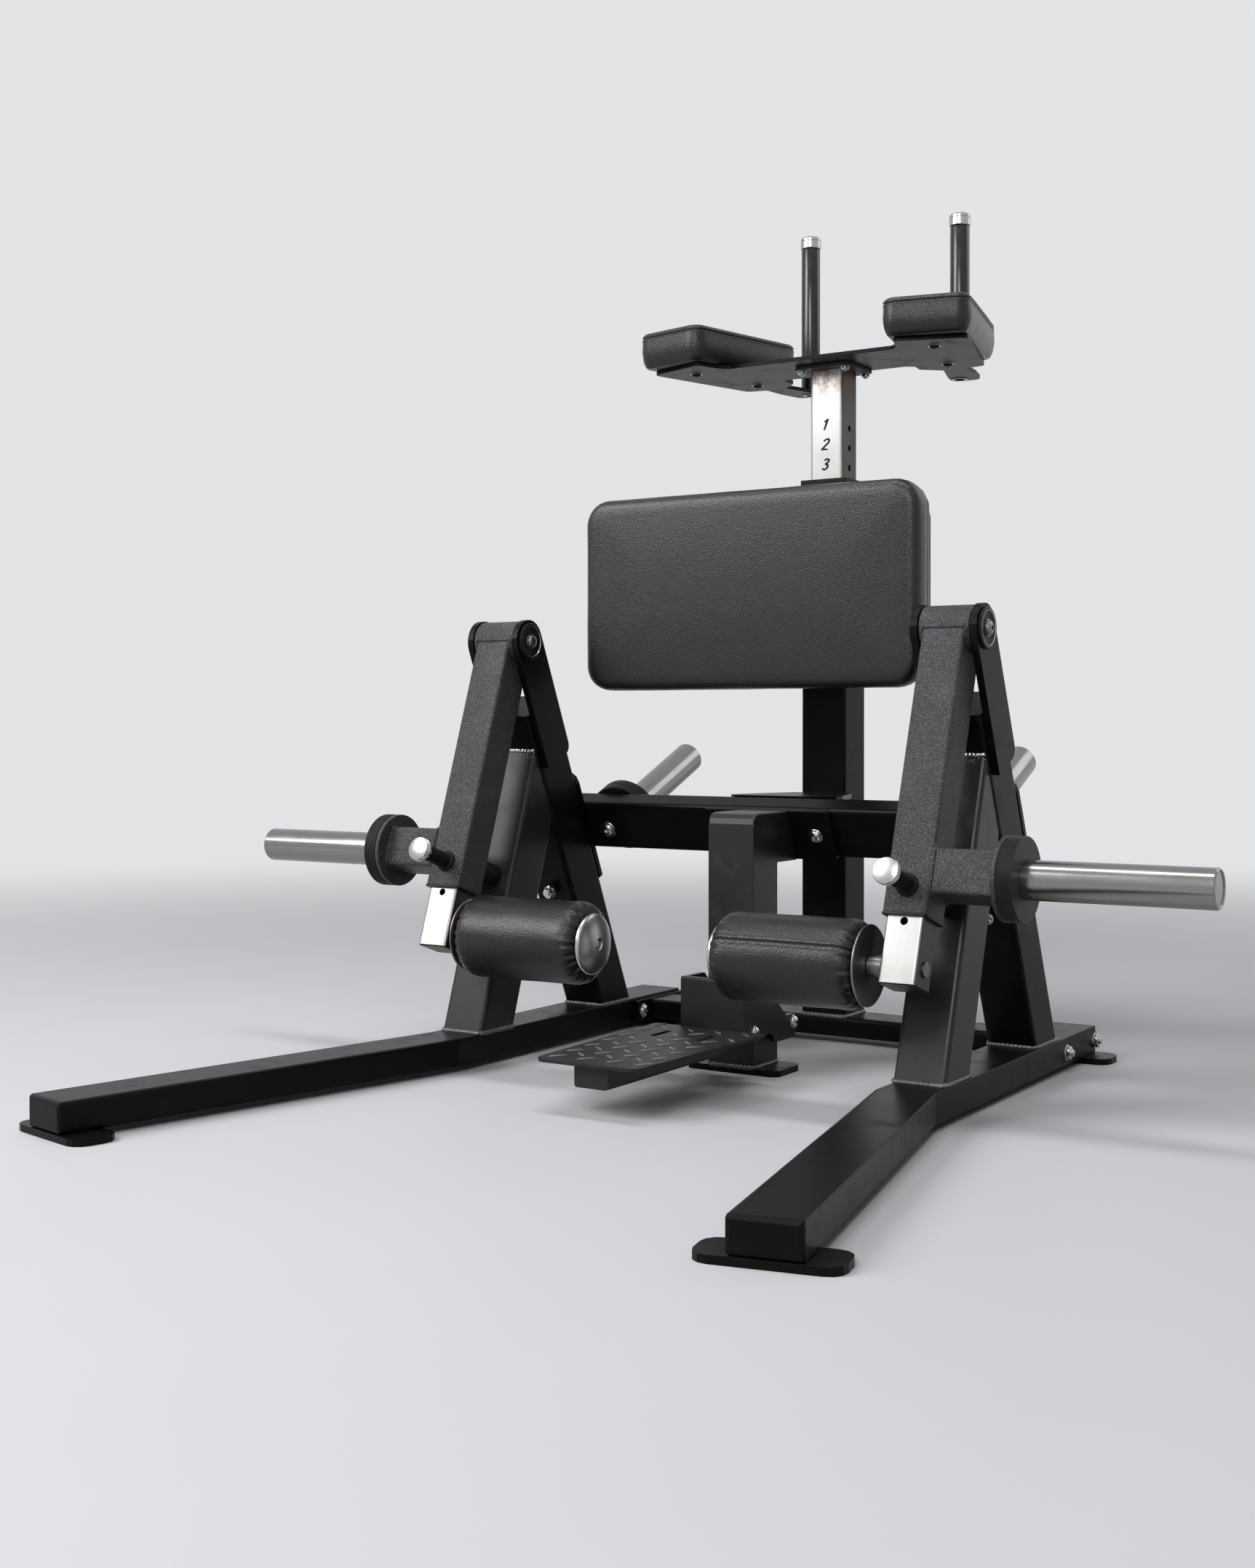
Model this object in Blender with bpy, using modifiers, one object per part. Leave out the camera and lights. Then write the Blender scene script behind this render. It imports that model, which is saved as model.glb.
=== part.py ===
"""Standing hamstring machine: a splayed base, two leaning A-frames, and two roller arms that swing
from pivots beside the knees. Metres, +Z up, the person faces +Y. The origin is on the floor under
the middle of the centre post."""

import math

import bmesh
import bpy
from mathutils import Matrix, Vector

SIDES = (("L", -1), ("R", 1))

# Clearances
GAP = 0.0003            # between two pieces that are bolted or welded together
RUN = 0.0002            # round a turning shaft or a sliding pin, on the radius
SLIDE = 0.0003          # each side of a square tube in its sleeve

# Tubes
WALL = 0.003            # wall of every structural tube
TUBE_R = 0.006          # outer corner radius of the large tubes
CORNER_STEPS = 3        # flats in a rounded corner
ROUND = 28              # flats round a large turned piece
MEDIUM = 18             # round a pin, a bolt or a cap
SMALL = 10              # round a hole

# Feet and side rails
FOOT_T = 0.009
FOOT_L = 0.152
FOOT_W = 0.062
FOOT_R = 0.020
RAIL_W = 0.078
RAIL_H = 0.040
RAIL_X = 0.3685
RAIL_REAR_Y = 0.3695
RAIL_BEND_Y = -0.2505
RAIL_SPLAY = math.radians(12.0)
RAIL_FRONT_LENGTH = 0.6237
RAIL_EDGE = 0.005
RAIL_VENT_R = 0.004

# Rear crossbar of the base
BAR_Y = 0.298
BAR_D = 0.076
BAR_H = 0.032
BAR_PLATE_T = 0.008
BAR_PLATE_L = 0.155
BAR_LIFT = 0.002        # the plates stand this much past the tube, above and below
BAR_BOLT_R = 0.006
BAR_BOLT_PITCH = 0.124

# A-frame legs
LEG_X = 0.3655
LEG_W = 0.072
LEG_D = 0.080
PIVOT_Y = -0.0925
PIVOT_Z = 0.632
REAR_LEAN = math.radians(24.0)
REAR_TOP = 0.107        # pivot axis down to the top of the rear leg
FRONT_LEAN = math.radians(18.6)
FRONT_FOOT_Y = -0.1603

# Pivot
AXLE_R = 0.010
SLEEVE_R = 0.031
SLEEVE_SIDE_GAP = 0.0015
EAR_T = 0.010
EAR_W = 0.066
EAR_LENGTH = 0.197      # pivot axis down to the bottom of an ear
EAR_CORNER = 0.014
CAP_R = 0.028
CAP_T = 0.004
BUTTON_R = 0.010
BUTTON_H = 0.006

# Swing arm, with its weight horn
ARM_LEAN = math.radians(19.0)
ARM_W = 0.060
ARM_R = 0.005
ARM_LENGTH = 0.391      # pivot axis down to the end of the arm tube
HORN_S = 0.335          # pivot axis down to the horn
STUB_LENGTH = 0.0845
STUB_W = 0.0594
FLANGE_R = 0.054
FLANGE_T = 0.028
HORN_R = 0.025
HORN_LENGTH = 0.233
HORN_WALL = 0.004
HORN_CHAMFER = 0.002

# Stop behind each swing arm
STOP_UP = 0.225         # along the front leg from its foot
STOP_R = 0.018
STOP_BOLT_R = 0.006
STOP_REST = 0.0006
STOP_HEAD_R = 0.011
STOP_HEAD_H = 0.008

# Height insert with its holes, and the spring pin that holds it
INSERT_W = 0.050
INSERT_WALL = 0.003
INSERT_R = 0.004
INSERT_TOP = 0.262
INSERT_END = 0.480
HOLE_PITCH = 0.0225
HOLE_R = 0.005
HOLE_COUNT = 6
PIN_S = 0.356
PIN_NOSE_R = 0.0045
PIN_STEM_R = 0.006
PIN_BODY_R = 0.0115
PIN_BODY_L = 0.046
PIN_COLLAR_R = 0.0145
PIN_COLLAR_T = 0.004
PIN_NECK = 0.014
PIN_HEAD_R = 0.0173
PIN_HEAD_T = 0.012
PIN_STANDOFF = 0.0006   # the nose stops short of the sliding tube
HOLES_BELOW_PIN = 2     # whole holes of the insert below the pin as it stands
PLUG_T = 0.004

# Roller
ROLLER_S = 0.456
SPINDLE_R = 0.010
SPINDLE_BOSS = 0.0035
CORE_R = 0.017
DISC_R = 0.0525
DISC_T = 0.003
DISC_GAP = 0.024
FOAM_R = 0.0585
FOAM_L = 0.207
FOAM_ROUND = 0.022
DOME_R = 0.0425
DOME_T = 0.0115
DOME_RIM = 0.004        # straight edge of the dome, before its crown

# Upper crossbeam and what bolts to it
BEAM_S = 0.337
BEAM_H = 0.080
BEAM_D = 0.040
BEAM_SHORT = 0.0165     # each end stops this far inside the leg's outer face
LEG_PLATE_T = 0.008
LEG_PLATE_TOP = 0.097
LEG_PLATE_BOTTOM = 0.091
LEG_PLATE_R = 0.020
CENTRE_FLANGE_X = 0.105
CENTRE_FLANGE_T = 0.008
CENTRE_BOLT_X = 0.078
CENTRE_BOLT_R = 0.006

# Storage horns behind the crossbeam
STORE_X = 0.2965
STORE_DROP = 0.006      # the bolts sit this far below the beam's middle
STORE_BOLT_R = 0.006
STORE_WASHER_R = 0.014
STORE_WASHER_T = 0.002
STORE_DISC_R = 0.0555
STORE_DISC_T = 0.014
STORE_DISC_COUNT = 2
STORE_GROOVE = 0.001
STORE_R = 0.025
STORE_LENGTH = 0.207
STORE_WALL = 0.004

# Centre post with its elbow
POST_W = 0.075
POST_TOP = 0.3775
POST_ELBOW_R = 0.016
BASE_PLATE_L = 0.152
BASE_PLATE_W = 0.076
BASE_PLATE_R = 0.012

# Tread and its bracket
BRACKET_X = 0.0515
BRACKET_T = 0.0078
BRACKET_FRONT = -0.0925
BRACKET_LOW = 0.058
BRACKET_HIGH = 0.143
LUG_LOW = 0.043
LUG_HIGH = 0.078
LUG_END = 0.0735
LUG_CHAMFER = 0.012
LUG_STEP_Y = -0.010
BRACKET_BOLT_FRONT_Y = -0.060
BRACKET_BOLT_REAR_Y = 0.060
BRACKET_BOLT_Z = 0.066
BRACKET_BOLT_R = 0.005
BRACKET_EDGE = 0.003
TREAD_TOP = 0.073
TREAD_T = 0.005
TREAD_FRONT_Y = -0.4175
TREAD_REAR_Y = -0.0975
TREAD_FRONT_X = 0.079
TREAD_REAR_X = 0.091
TREAD_R = 0.014
SLOT_X = 0.037
SLOT_W = 0.010
SLOT_L = 0.050
SLOT_Y = -0.170
ARM_TUBE_W = 0.052
ARM_TUBE_H = 0.030
ARM_TUBE_END = -0.4025

# Mast, its brace, collar and telescoping post
MAST_W = 0.0765
MAST_TOP = 0.877
COLLAR_H = 0.018
COLLAR_EDGE = 0.0012
COLLAR_CORNER = 0.002
GUSSET_T = 0.008
GUSSET_RISE = 0.001     # its top above the beam's rear corner
GUSSET_REACH = 0.007
GUSSET_REAR_X = 0.050
GUSSET_FRONT_X = 0.090
GUSSET_CHAMFER = 0.022
BRACE_W = 0.075
SLIDER_W = 0.056
SLIDER_R = 0.005
SLIDER_BOTTOM = 0.560
SLIDER_HOLE_TOP = 0.978
SLIDER_PITCH = 0.0315
SLIDER_HOLES = 10
TOP_FLANGE_W = 0.097
TOP_FLANGE_T = 0.005
TOP_BOLT_X = 0.038
TOP_BOLT_R = 0.0045
MAST_PIN_Z = 0.852

# Arm plate, elbow pads and handles
PLATE_Z = 1.076
PLATE_T = 0.006
PLATE_BROW = (0.142, 0.208)
PLATE_STEP = (0.155, 0.194)
PLATE_WING_ROOT = (0.160, 0.179)
PLATE_WING_FRONT = (0.168, 0.155)
PLATE_TIP = (0.2715, 0.190)
PLATE_REAR = (0.214, 0.402)
PLATE_NOTCH = (0.1805, 0.408)
TAB_SIDE = (0.177, 0.457)
TAB_OUTER = (0.166, 0.508)
TAB_INNER = (0.117, 0.508)
TAB_HIP = (0.124, 0.470)
TAB_ROOT = (0.143, 0.406)
PLATE_HEEL = (0.113, 0.378)
PLATE_HOLLOW = (0.117, 0.353)
PLATE_SEAT = (0.104, 0.343)
PLATE_CORNER = 0.010
TAB_CORNER = 0.014
STEP_CORNER = 0.004
ELBOW_X = 0.1945
ELBOW_Y = 0.269
ELBOW_W = 0.132
ELBOW_L = 0.252
ELBOW_H = 0.058
ELBOW_TOE = math.radians(12.5)
ELBOW_CORNER = 0.022
ELBOW_BACK = 0.003      # the underside is drawn in this far
ELBOW_CROWN = 0.006
HANDLE_X = 0.137
HANDLE_Y = 0.4875
HANDLE_R = 0.0125
HANDLE_BELOW = 0.001
HANDLE_TOP = 1.347
GRIP_R = 0.016
GRIP_CLEAR = 0.004
HANDLE_CAP_R = 0.0175
HANDLE_CAP_H = 0.020
HANDLE_WALL = 0.003

# Thigh pad on its board and arm
PAD_X = 0.278
PAD_LOW = 0.558
PAD_HIGH = 0.851
PAD_FRONT_Y = -0.0105
PAD_T = 0.065
PAD_CORNER = 0.050
PAD_CROWN = 0.008
PAD_BACK = 0.009        # the back edge is drawn in this far
BOARD_T = 0.012
BOARD_INSET = 0.012
BRACKET_PLATE = (0.200, 0.120)
BRACKET_PLATE_T = 0.006
PAD_ARM_W = 0.050

MAST_FRONT_Y = BAR_Y - MAST_W / 2
RAIL_LOW = FOOT_T + GAP
RAIL_TOP = RAIL_LOW + RAIL_H
BAR_TOP = RAIL_LOW + BAR_LIFT + BAR_H
EAR_INNER = LEG_W / 2 + GAP
BRACKET_BOLTS = ((BRACKET_BOLT_FRONT_Y, BRACKET_BOLT_Z), (BRACKET_BOLT_REAR_Y, BRACKET_BOLT_Z))
INSERT_X = LEG_X - INSERT_W / 2
DISC_FACE_X = INSERT_X - DISC_GAP
FOAM_OUTER_X = DISC_FACE_X - DISC_T - GAP
DOME_FACE_X = FOAM_OUTER_X - FOAM_L - GAP
BEAM_T = LEG_D / 2 + GAP + LEG_PLATE_T + GAP
FACING_X = Matrix(((0, 0, 1), (1, 0, 0), (0, 1, 0))).to_4x4()
FACING_Y = Matrix(((1, 0, 0), (0, 0, -1), (0, 1, 0))).to_4x4()


def clear_scene():
    for obj in list(bpy.data.objects):
        bpy.data.objects.remove(obj, do_unlink=True)


def new_collection(name):
    found = bpy.data.collections.new(name)
    bpy.context.scene.collection.children.link(found)
    return found


def new_material(name, colour, metallic, roughness):
    material = bpy.data.materials.new(name)
    material.use_nodes = True
    shader = material.node_tree.nodes["Principled BSDF"]
    shader.inputs["Base Color"].default_value = (*colour, 1)
    shader.inputs["Metallic"].default_value = metallic
    shader.inputs["Roughness"].default_value = roughness
    material.diffuse_color = (*colour, 1)
    return material


clear_scene()
PARTS = new_collection("standing_hamstring_machine")
CUTTERS = new_collection("cutters")
SATIN = new_material("satin_black", (0.030, 0.031, 0.034), 0.2, 0.42)
WRINKLE = new_material("wrinkle_black", (0.040, 0.041, 0.044), 0.2, 0.62)
STAINLESS = new_material("brushed_stainless", (0.62, 0.61, 0.59), 1.0, 0.30)
POLISHED = new_material("polished_steel", (0.70, 0.69, 0.67), 1.0, 0.16)
ALUMINIUM = new_material("aluminium", (0.66, 0.66, 0.66), 1.0, 0.28)
RUBBER = new_material("rubber", (0.020, 0.020, 0.021), 0.0, 0.70)
PLASTIC = new_material("plastic", (0.018, 0.018, 0.019), 0.0, 0.45)
LEATHER = new_material("leather", (0.022, 0.022, 0.023), 0.0, 0.50)


def tilt(x, y, z, angle):
    """A frame at a point, leaned about X: its own Z runs up the leaning member."""
    return Matrix.Translation((x, y, z)) @ Matrix.Rotation(angle, 4, "X")


def toward_x(side):
    """Turns a shape made along Z so that it runs outward along X."""
    return Matrix.Rotation(side * math.pi / 2, 4, "Y")


def move(x=0.0, y=0.0, z=0.0):
    return Matrix.Translation((x, y, z))


BACK = Matrix.Rotation(-math.pi / 2, 4, "X")
FORWARD = Matrix.Rotation(math.pi / 2, 4, "X")


def place_object(name, mesh, place, material):
    obj = bpy.data.objects.new(name, mesh)
    obj.matrix_world = place
    if material is None:
        CUTTERS.objects.link(obj)
        obj.hide_render = True
        obj.display_type = "WIRE"
        return obj
    mesh.materials.clear()
    mesh.materials.append(material)
    PARTS.objects.link(obj)
    return obj


def smooth(obj, degrees=30):
    obj.data.shade_smooth()
    obj.data.set_sharp_from_angle(angle=math.radians(degrees))
    return obj


def cut(obj, *cutters):
    for cutter in cutters:
        modifier = obj.modifiers.new(cutter.name, "BOOLEAN")
        modifier.operation = "DIFFERENCE"
        modifier.object = cutter
    return obj


def fuse(obj, *others):
    for other in others:
        modifier = obj.modifiers.new(other.name, "BOOLEAN")
        modifier.operation = "UNION"
        modifier.object = other
    return obj


def fillet(points, radii, steps=CORNER_STEPS):
    """Rounds each corner of a closed outline with an arc that is tangent to both its sides."""
    out = []
    count = len(points)
    for i in range(count):
        here = Vector(points[i])
        before = (Vector(points[i - 1]) - here).normalized()
        after = (Vector(points[(i + 1) % count]) - here).normalized()
        radius = radii[i] if hasattr(radii, "__len__") else radii
        half = before.angle(after) / 2
        if radius <= 0 or half > math.radians(85):
            out.append(here)
            continue
        centre = here + (before + after).normalized() * radius / math.sin(half)
        first = here + before * radius / math.tan(half) - centre
        last = here + after * radius / math.tan(half) - centre
        turn = first.angle_signed(last)
        for k in range(steps + 1):
            out.append(centre + Matrix.Rotation(-turn * k / steps, 2) @ first)
    return out


def box_outline(width, height, radius, centre=(0.0, 0.0), steps=CORNER_STEPS):
    cx, cy = centre
    half_w = width / 2
    half_h = height / 2
    corners = ((-half_w, -half_h), (half_w, -half_h), (half_w, half_h), (-half_w, half_h))
    return fillet([(cx + x, cy + y) for x, y in corners], radius, steps)


def tube_outlines(width, height, wall, radius, centre=(0.0, 0.0)):
    inner = max(radius - wall, 0.0005)
    return [box_outline(width, height, radius, centre),
            box_outline(width - 2 * wall, height - 2 * wall, inner, centre, 1)]


def around(radius, flats):
    """The corner radius of a polygon whose flats touch a circle, so that a round shaft still fits."""
    return radius / math.cos(math.pi / flats)


def ring_outline(radius, centre=(0.0, 0.0), flats=MEDIUM):
    cx, cy = centre
    radius = around(radius, flats)
    steps = [2 * math.pi * (k + 0.23) / flats for k in range(flats)]
    return [(cx + radius * math.cos(a), cy + radius * math.sin(a)) for a in steps]


def strip(path, half):
    """The outline of a flat bar of even width along a path, with its joints mitred."""
    points = [Vector(p) for p in path]
    left = []
    right = []
    for i, point in enumerate(points):
        arrive = (point - points[i - 1]).normalized() if i else (points[1] - point).normalized()
        leave = (points[i + 1] - point).normalized() if i + 1 < len(points) else arrive
        along = (arrive + leave).normalized()
        across = Vector((-along.y, along.x)) * half / along.dot(arrive)
        left.append(point + across)
        right.append(point - across)
    return left + right[::-1]


def prism(name, outlines, low, high, place, material=None):
    """Flat outlines, holes included, drawn out from low to high along the frame's own Z."""
    curve = bpy.data.curves.new(name, "CURVE")
    curve.dimensions = "2D"
    curve.fill_mode = "BOTH"
    curve.extrude = (high - low) / 2
    for outline in outlines:
        spline = curve.splines.new("POLY")
        spline.points.add(len(outline) - 1)
        for point, (x, y) in zip(spline.points, outline):
            point.co = (x, y, 0, 1)
        spline.use_cyclic_u = True
    return place_object(name, curve_mesh(name, curve, move(z=(low + high) / 2)), place, material)


def curve_mesh(name, curve, shift):
    source = bpy.data.objects.new(name, curve)
    bpy.context.scene.collection.objects.link(source)
    graph = bpy.context.evaluated_depsgraph_get()
    mesh = bpy.data.meshes.new_from_object(source.evaluated_get(graph))
    bpy.data.objects.remove(source, do_unlink=True)
    bpy.data.curves.remove(curve)
    mesh.name = name
    work = bmesh.new()
    work.from_mesh(mesh)
    bmesh.ops.remove_doubles(work, verts=work.verts, dist=0.00001)
    bmesh.ops.transform(work, matrix=shift, verts=work.verts)
    bmesh.ops.recalc_face_normals(work, faces=work.faces)
    work.to_mesh(mesh)
    work.free()
    return mesh


def block(name, size, centre, place, material=None):
    work = bmesh.new()
    bmesh.ops.create_cube(work, size=1)
    bmesh.ops.scale(work, vec=size, verts=work.verts)
    bmesh.ops.translate(work, vec=centre, verts=work.verts)
    mesh = bpy.data.meshes.new(name)
    work.to_mesh(mesh)
    work.free()
    return place_object(name, mesh, place, material)


def rod(name, radius, low, high, place, flats=SMALL):
    """A round cutter along the frame's own Z."""
    work = bmesh.new()
    radius = around(radius, flats)
    bmesh.ops.create_cone(work, cap_ends=True, segments=flats, radius1=radius, radius2=radius,
                          depth=high - low)
    bmesh.ops.translate(work, vec=(0, 0, (low + high) / 2), verts=work.verts)
    mesh = bpy.data.meshes.new(name)
    work.to_mesh(mesh)
    work.free()
    return place_object(name, mesh, place, None)


def turned(name, profile, place, material=None, flats=ROUND):
    """Spins a closed or axis-to-axis profile of (radius, z) points, listed from top to bottom."""
    mesh = bpy.data.meshes.new(name)
    count = len(profile)
    closed = profile[0][0] > 1e-6
    edges = [(i, i + 1) for i in range(count - 1)]
    if closed:
        edges.append((count - 1, 0))
    mesh.from_pydata([(r, 0, z) for r, z in profile], edges, [])
    obj = place_object(name, mesh, place, material)
    spin = obj.modifiers.new("Screw", "SCREW")
    spin.steps = flats
    spin.render_steps = flats
    spin.use_merge_vertices = True
    spin.merge_threshold = 0.00001
    spin.use_smooth_shade = True
    return obj


def arc(centre, radius, start, end, steps):
    """Points (radius, z) along an arc in a turned profile, with its angles in degrees."""
    cr, cz = centre
    turn = [math.radians(start + (end - start) * k / steps) for k in range(steps + 1)]
    return [(cr + radius * math.cos(a), cz + radius * math.sin(a)) for a in turn]


def carry(parent, *children):
    """Parents pieces to the one that carries them, where they stand."""
    bpy.context.view_layer.update()
    for child in children:
        child.parent = parent
        child.matrix_parent_inverse = parent.matrix_world.inverted()


def rail_path(side, trim=0.0):
    reach = RAIL_FRONT_LENGTH - trim
    front = (RAIL_X + reach * math.sin(RAIL_SPLAY), RAIL_BEND_Y - reach * math.cos(RAIL_SPLAY))
    points = ((RAIL_X, RAIL_REAR_Y - trim), (RAIL_X, RAIL_BEND_Y), front)
    return [(side * x, y) for x, y in points]


def bar_bolt_holes(name, radius, low, high):
    """Round cutters across the rail, one for each bolt of the rear crossbar."""
    centre_z = RAIL_LOW + BAR_LIFT + BAR_H / 2
    ys = (BAR_Y - BAR_BOLT_PITCH / 2, BAR_Y + BAR_BOLT_PITCH / 2)
    return [rod(f"{name}_{i}", radius, low, high, move(0, y, centre_z) @ toward_x(1))
            for i, y in enumerate(ys)]


def build_rails():
    for tag, side in SIDES:
        rail = prism(f"base_rail_{tag}", [strip(rail_path(side), RAIL_W / 2)], RAIL_LOW, RAIL_TOP,
                     Matrix.Identity(4), SATIN)
        bevel = rail.modifiers.new("Edges", "BEVEL")
        bevel.width = RAIL_EDGE
        bevel.segments = 2
        bevel.angle_limit = math.radians(40)
        hollow = prism(f"rail_hollow_{tag}", [strip(rail_path(side, WALL), RAIL_W / 2 - WALL)],
                       RAIL_LOW + WALL, RAIL_TOP - WALL, Matrix.Identity(4))
        low, high = sorted((side * (RAIL_X - RAIL_W), side * (RAIL_X + RAIL_W)))
        cut(rail, hollow, *bar_bolt_holes(f"rail_bolt_{tag}", BAR_BOLT_R, low, high))
        vent_y = RAIL_BEND_Y + RAIL_W
        vent = rod(f"rail_vent_{tag}", RAIL_VENT_R, 0, RAIL_LOW + 2 * WALL,
                   move(side * RAIL_X, vent_y, 0))
        cut(rail, vent)
        smooth(rail)
        build_feet(tag, side)


def build_feet(tag, side):
    outline = box_outline(FOOT_L, FOOT_W, FOOT_R)
    rear = move(side * RAIL_X, RAIL_REAR_Y - FOOT_W / 2, 0)
    x, y = rail_path(side, FOOT_W / 2)[2]
    front = move(x, y, 0) @ Matrix.Rotation(side * RAIL_SPLAY, 4, "Z")
    for name, place in (("rear", rear), ("front", front)):
        smooth(prism(f"foot_plate_{name}_{tag}", [outline], 0, FOOT_T, place, SATIN))


def build_base_crossbar():
    """The low rear tube between the rails, with a bolted plate on each end."""
    reach = RAIL_X - RAIL_W / 2 - GAP
    place = move(0, BAR_Y, RAIL_LOW + BAR_LIFT + BAR_H / 2)
    tube = prism("base_crossbar", [box_outline(BAR_D, BAR_H, TUBE_R)],
                 -reach + BAR_PLATE_T / 2, reach - BAR_PLATE_T / 2, place @ FACING_X, SATIN)
    inner = box_outline(BAR_D - 2 * WALL, BAR_H - 2 * WALL, TUBE_R - WALL, steps=1)
    hollow = prism("bar_hollow", [inner], -reach + BAR_PLATE_T, reach - BAR_PLATE_T, place @ FACING_X)
    outline = box_outline(BAR_PLATE_L, BAR_H + 2 * BAR_LIFT, RAIL_EDGE)
    for tag, side in SIDES:
        low, high = sorted((side * (reach - BAR_PLATE_T), side * reach))
        plate = prism(f"bar_plate_{tag}", [outline], low, high, place @ FACING_X)
        fuse(tube, plate)
    cut(tube, hollow, *bar_bolt_holes("bar_bolt", BAR_BOLT_R, -reach - GAP, reach + GAP))
    vent = rod("bar_vent", RAIL_VENT_R, 0, RAIL_LOW + BAR_LIFT + 2 * WALL, move(0, BAR_Y, 0))
    cut(tube, vent)
    smooth(tube)


def rear_frame(x):
    return tilt(x, PIVOT_Y, PIVOT_Z, REAR_LEAN)


def front_frame(x):
    return tilt(x, FRONT_FOOT_Y, RAIL_TOP, -FRONT_LEAN)


def arm_frame(x):
    return tilt(x, PIVOT_Y, PIVOT_Z, -ARM_LEAN)


def store_frame(side):
    return rear_frame(side * STORE_X) @ move(z=-BEAM_S - STORE_DROP)


def floor_cut(name, x):
    """Everything below the top of a rail."""
    size = (LEG_W * 2, LEG_D * 6, LEG_D * 2)
    return block(name, size, (0, 0, RAIL_TOP + GAP - size[2] / 2), move(x, 0, 0))


def build_legs():
    for tag, side in SIDES:
        x = side * LEG_X
        outer = box_outline(LEG_W, LEG_D, TUBE_R)
        inner = box_outline(LEG_W - 2 * WALL, LEG_D - 2 * WALL, TUBE_R - WALL, steps=1)
        down = PIVOT_Z / math.cos(REAR_LEAN) + LEG_D
        rear = prism(f"rear_leg_{tag}", [outer], -down, -REAR_TOP, rear_frame(x), SATIN)
        hollow = prism(f"rear_hollow_{tag}", [inner], -down - WALL, -REAR_TOP - WALL, rear_frame(x))
        floor = floor_cut(f"rear_floor_{tag}", x)
        floor.location.y = PIVOT_Y + PIVOT_Z * math.tan(REAR_LEAN)
        smooth(cut(rear, hollow, floor))
        front = prism(f"front_leg_{tag}", [outer, inner], -LEG_D, PIVOT_Z, front_frame(x), WRINKLE)
        floor = floor_cut(f"front_floor_{tag}", x)
        floor.location.y = FRONT_FOOT_Y
        reach = PIVOT_Z
        behind = block(f"front_top_{tag}", (LEG_W * 2, reach, reach * 2),
                       (0, reach / 2 - LEG_D / 2 - GAP, 0), rear_frame(x))
        bolt = rod(f"stop_hole_{tag}", STOP_BOLT_R + GAP, -LEG_D, LEG_D,
                   front_frame(x) @ move(z=STOP_UP) @ FORWARD)
        smooth(cut(front, floor, behind, bolt))


def ear_outline():
    """Round at the pivot, straight down both edges, with only the rear bottom corner rounded."""
    half = EAR_W / 2
    top = [(half * math.cos(math.pi * k / 12), half * math.sin(math.pi * k / 12)) for k in range(13)]
    bottom = fillet([(-half, 0), (-half, -EAR_LENGTH), (half, -EAR_LENGTH), (half, 0)],
                    (0, 0, EAR_CORNER, 0))
    return top + bottom[1:-1]


def build_ears():
    hole = ring_outline(AXLE_R + RUN)
    for tag, side in SIDES:
        for name, low in (("outer", EAR_INNER), ("inner", -EAR_INNER - EAR_T)):
            if side < 0:
                low = -low - EAR_T
            place = rear_frame(side * LEG_X) @ FACING_X
            ear = prism(f"pivot_ear_{name}_{tag}", [ear_outline(), hole], low, low + EAR_T, place,
                        SATIN)
            smooth(ear)


def build_axles():
    face = EAR_INNER + EAR_T + GAP
    for tag, side in SIDES:
        half = [(0, face + CAP_T + BUTTON_H), (BUTTON_R * 0.7, face + CAP_T + BUTTON_H),
                (BUTTON_R, face + CAP_T), (CAP_R - 0.0008, face + CAP_T),
                (CAP_R, face + CAP_T - 0.0008), (CAP_R, face), (AXLE_R, face)]
        profile = half + [(r, -z) for r, z in reversed(half)]
        place = move(side * LEG_X, PIVOT_Y, PIVOT_Z) @ toward_x(side)
        turned(f"pivot_axle_{tag}", profile, place, STAINLESS, MEDIUM)


def build_swing_arm(tag, side):
    """Bearing sleeve, square tube and horn stub in one weldment, open at the lower end."""
    x = side * LEG_X
    place = arm_frame(x)
    wall = (ARM_W - INSERT_W) / 2 - SLIDE
    arm = prism(f"swing_arm_{tag}", [box_outline(ARM_W, ARM_W, ARM_R)], -ARM_LENGTH, 0, place,
                WRINKLE)
    half = EAR_INNER - SLEEVE_SIDE_GAP
    sleeve = rod(f"sleeve_{tag}", SLEEVE_R, -half, half, place @ toward_x(1), ROUND)
    stub_end = ARM_W / 2 + STUB_LENGTH
    low, high = sorted((side * (ARM_W / 2 - wall / 2), side * stub_end))
    stub = prism(f"stub_{tag}", [box_outline(STUB_W, STUB_W, ARM_R, (0, -HORN_S))], low, high,
                 place @ FACING_X)
    fuse(arm, sleeve, stub)
    channel = prism(f"channel_{tag}", [box_outline(ARM_W - 2 * wall, ARM_W - 2 * wall, 0.001)],
                    -ARM_LENGTH - wall, -SLEEVE_R - wall, place)
    low, high = sorted((side * (ARM_W / 2), side * (stub_end + wall)))
    inside = STUB_W - 2 * WALL
    stub_hollow = prism(f"stub_hollow_{tag}", [box_outline(inside, inside, 0.002, (0, -HORN_S))],
                        low, high, place @ FACING_X)
    bore = rod(f"bore_{tag}", AXLE_R + RUN, -2 * half, 2 * half, place @ toward_x(1), MEDIUM)
    pin = rod(f"arm_pin_hole_{tag}", PIN_NOSE_R + RUN, 0, ARM_W, place @ move(z=-PIN_S) @ FORWARD)
    return smooth(cut(arm, channel, stub_hollow, bore, pin))


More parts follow.
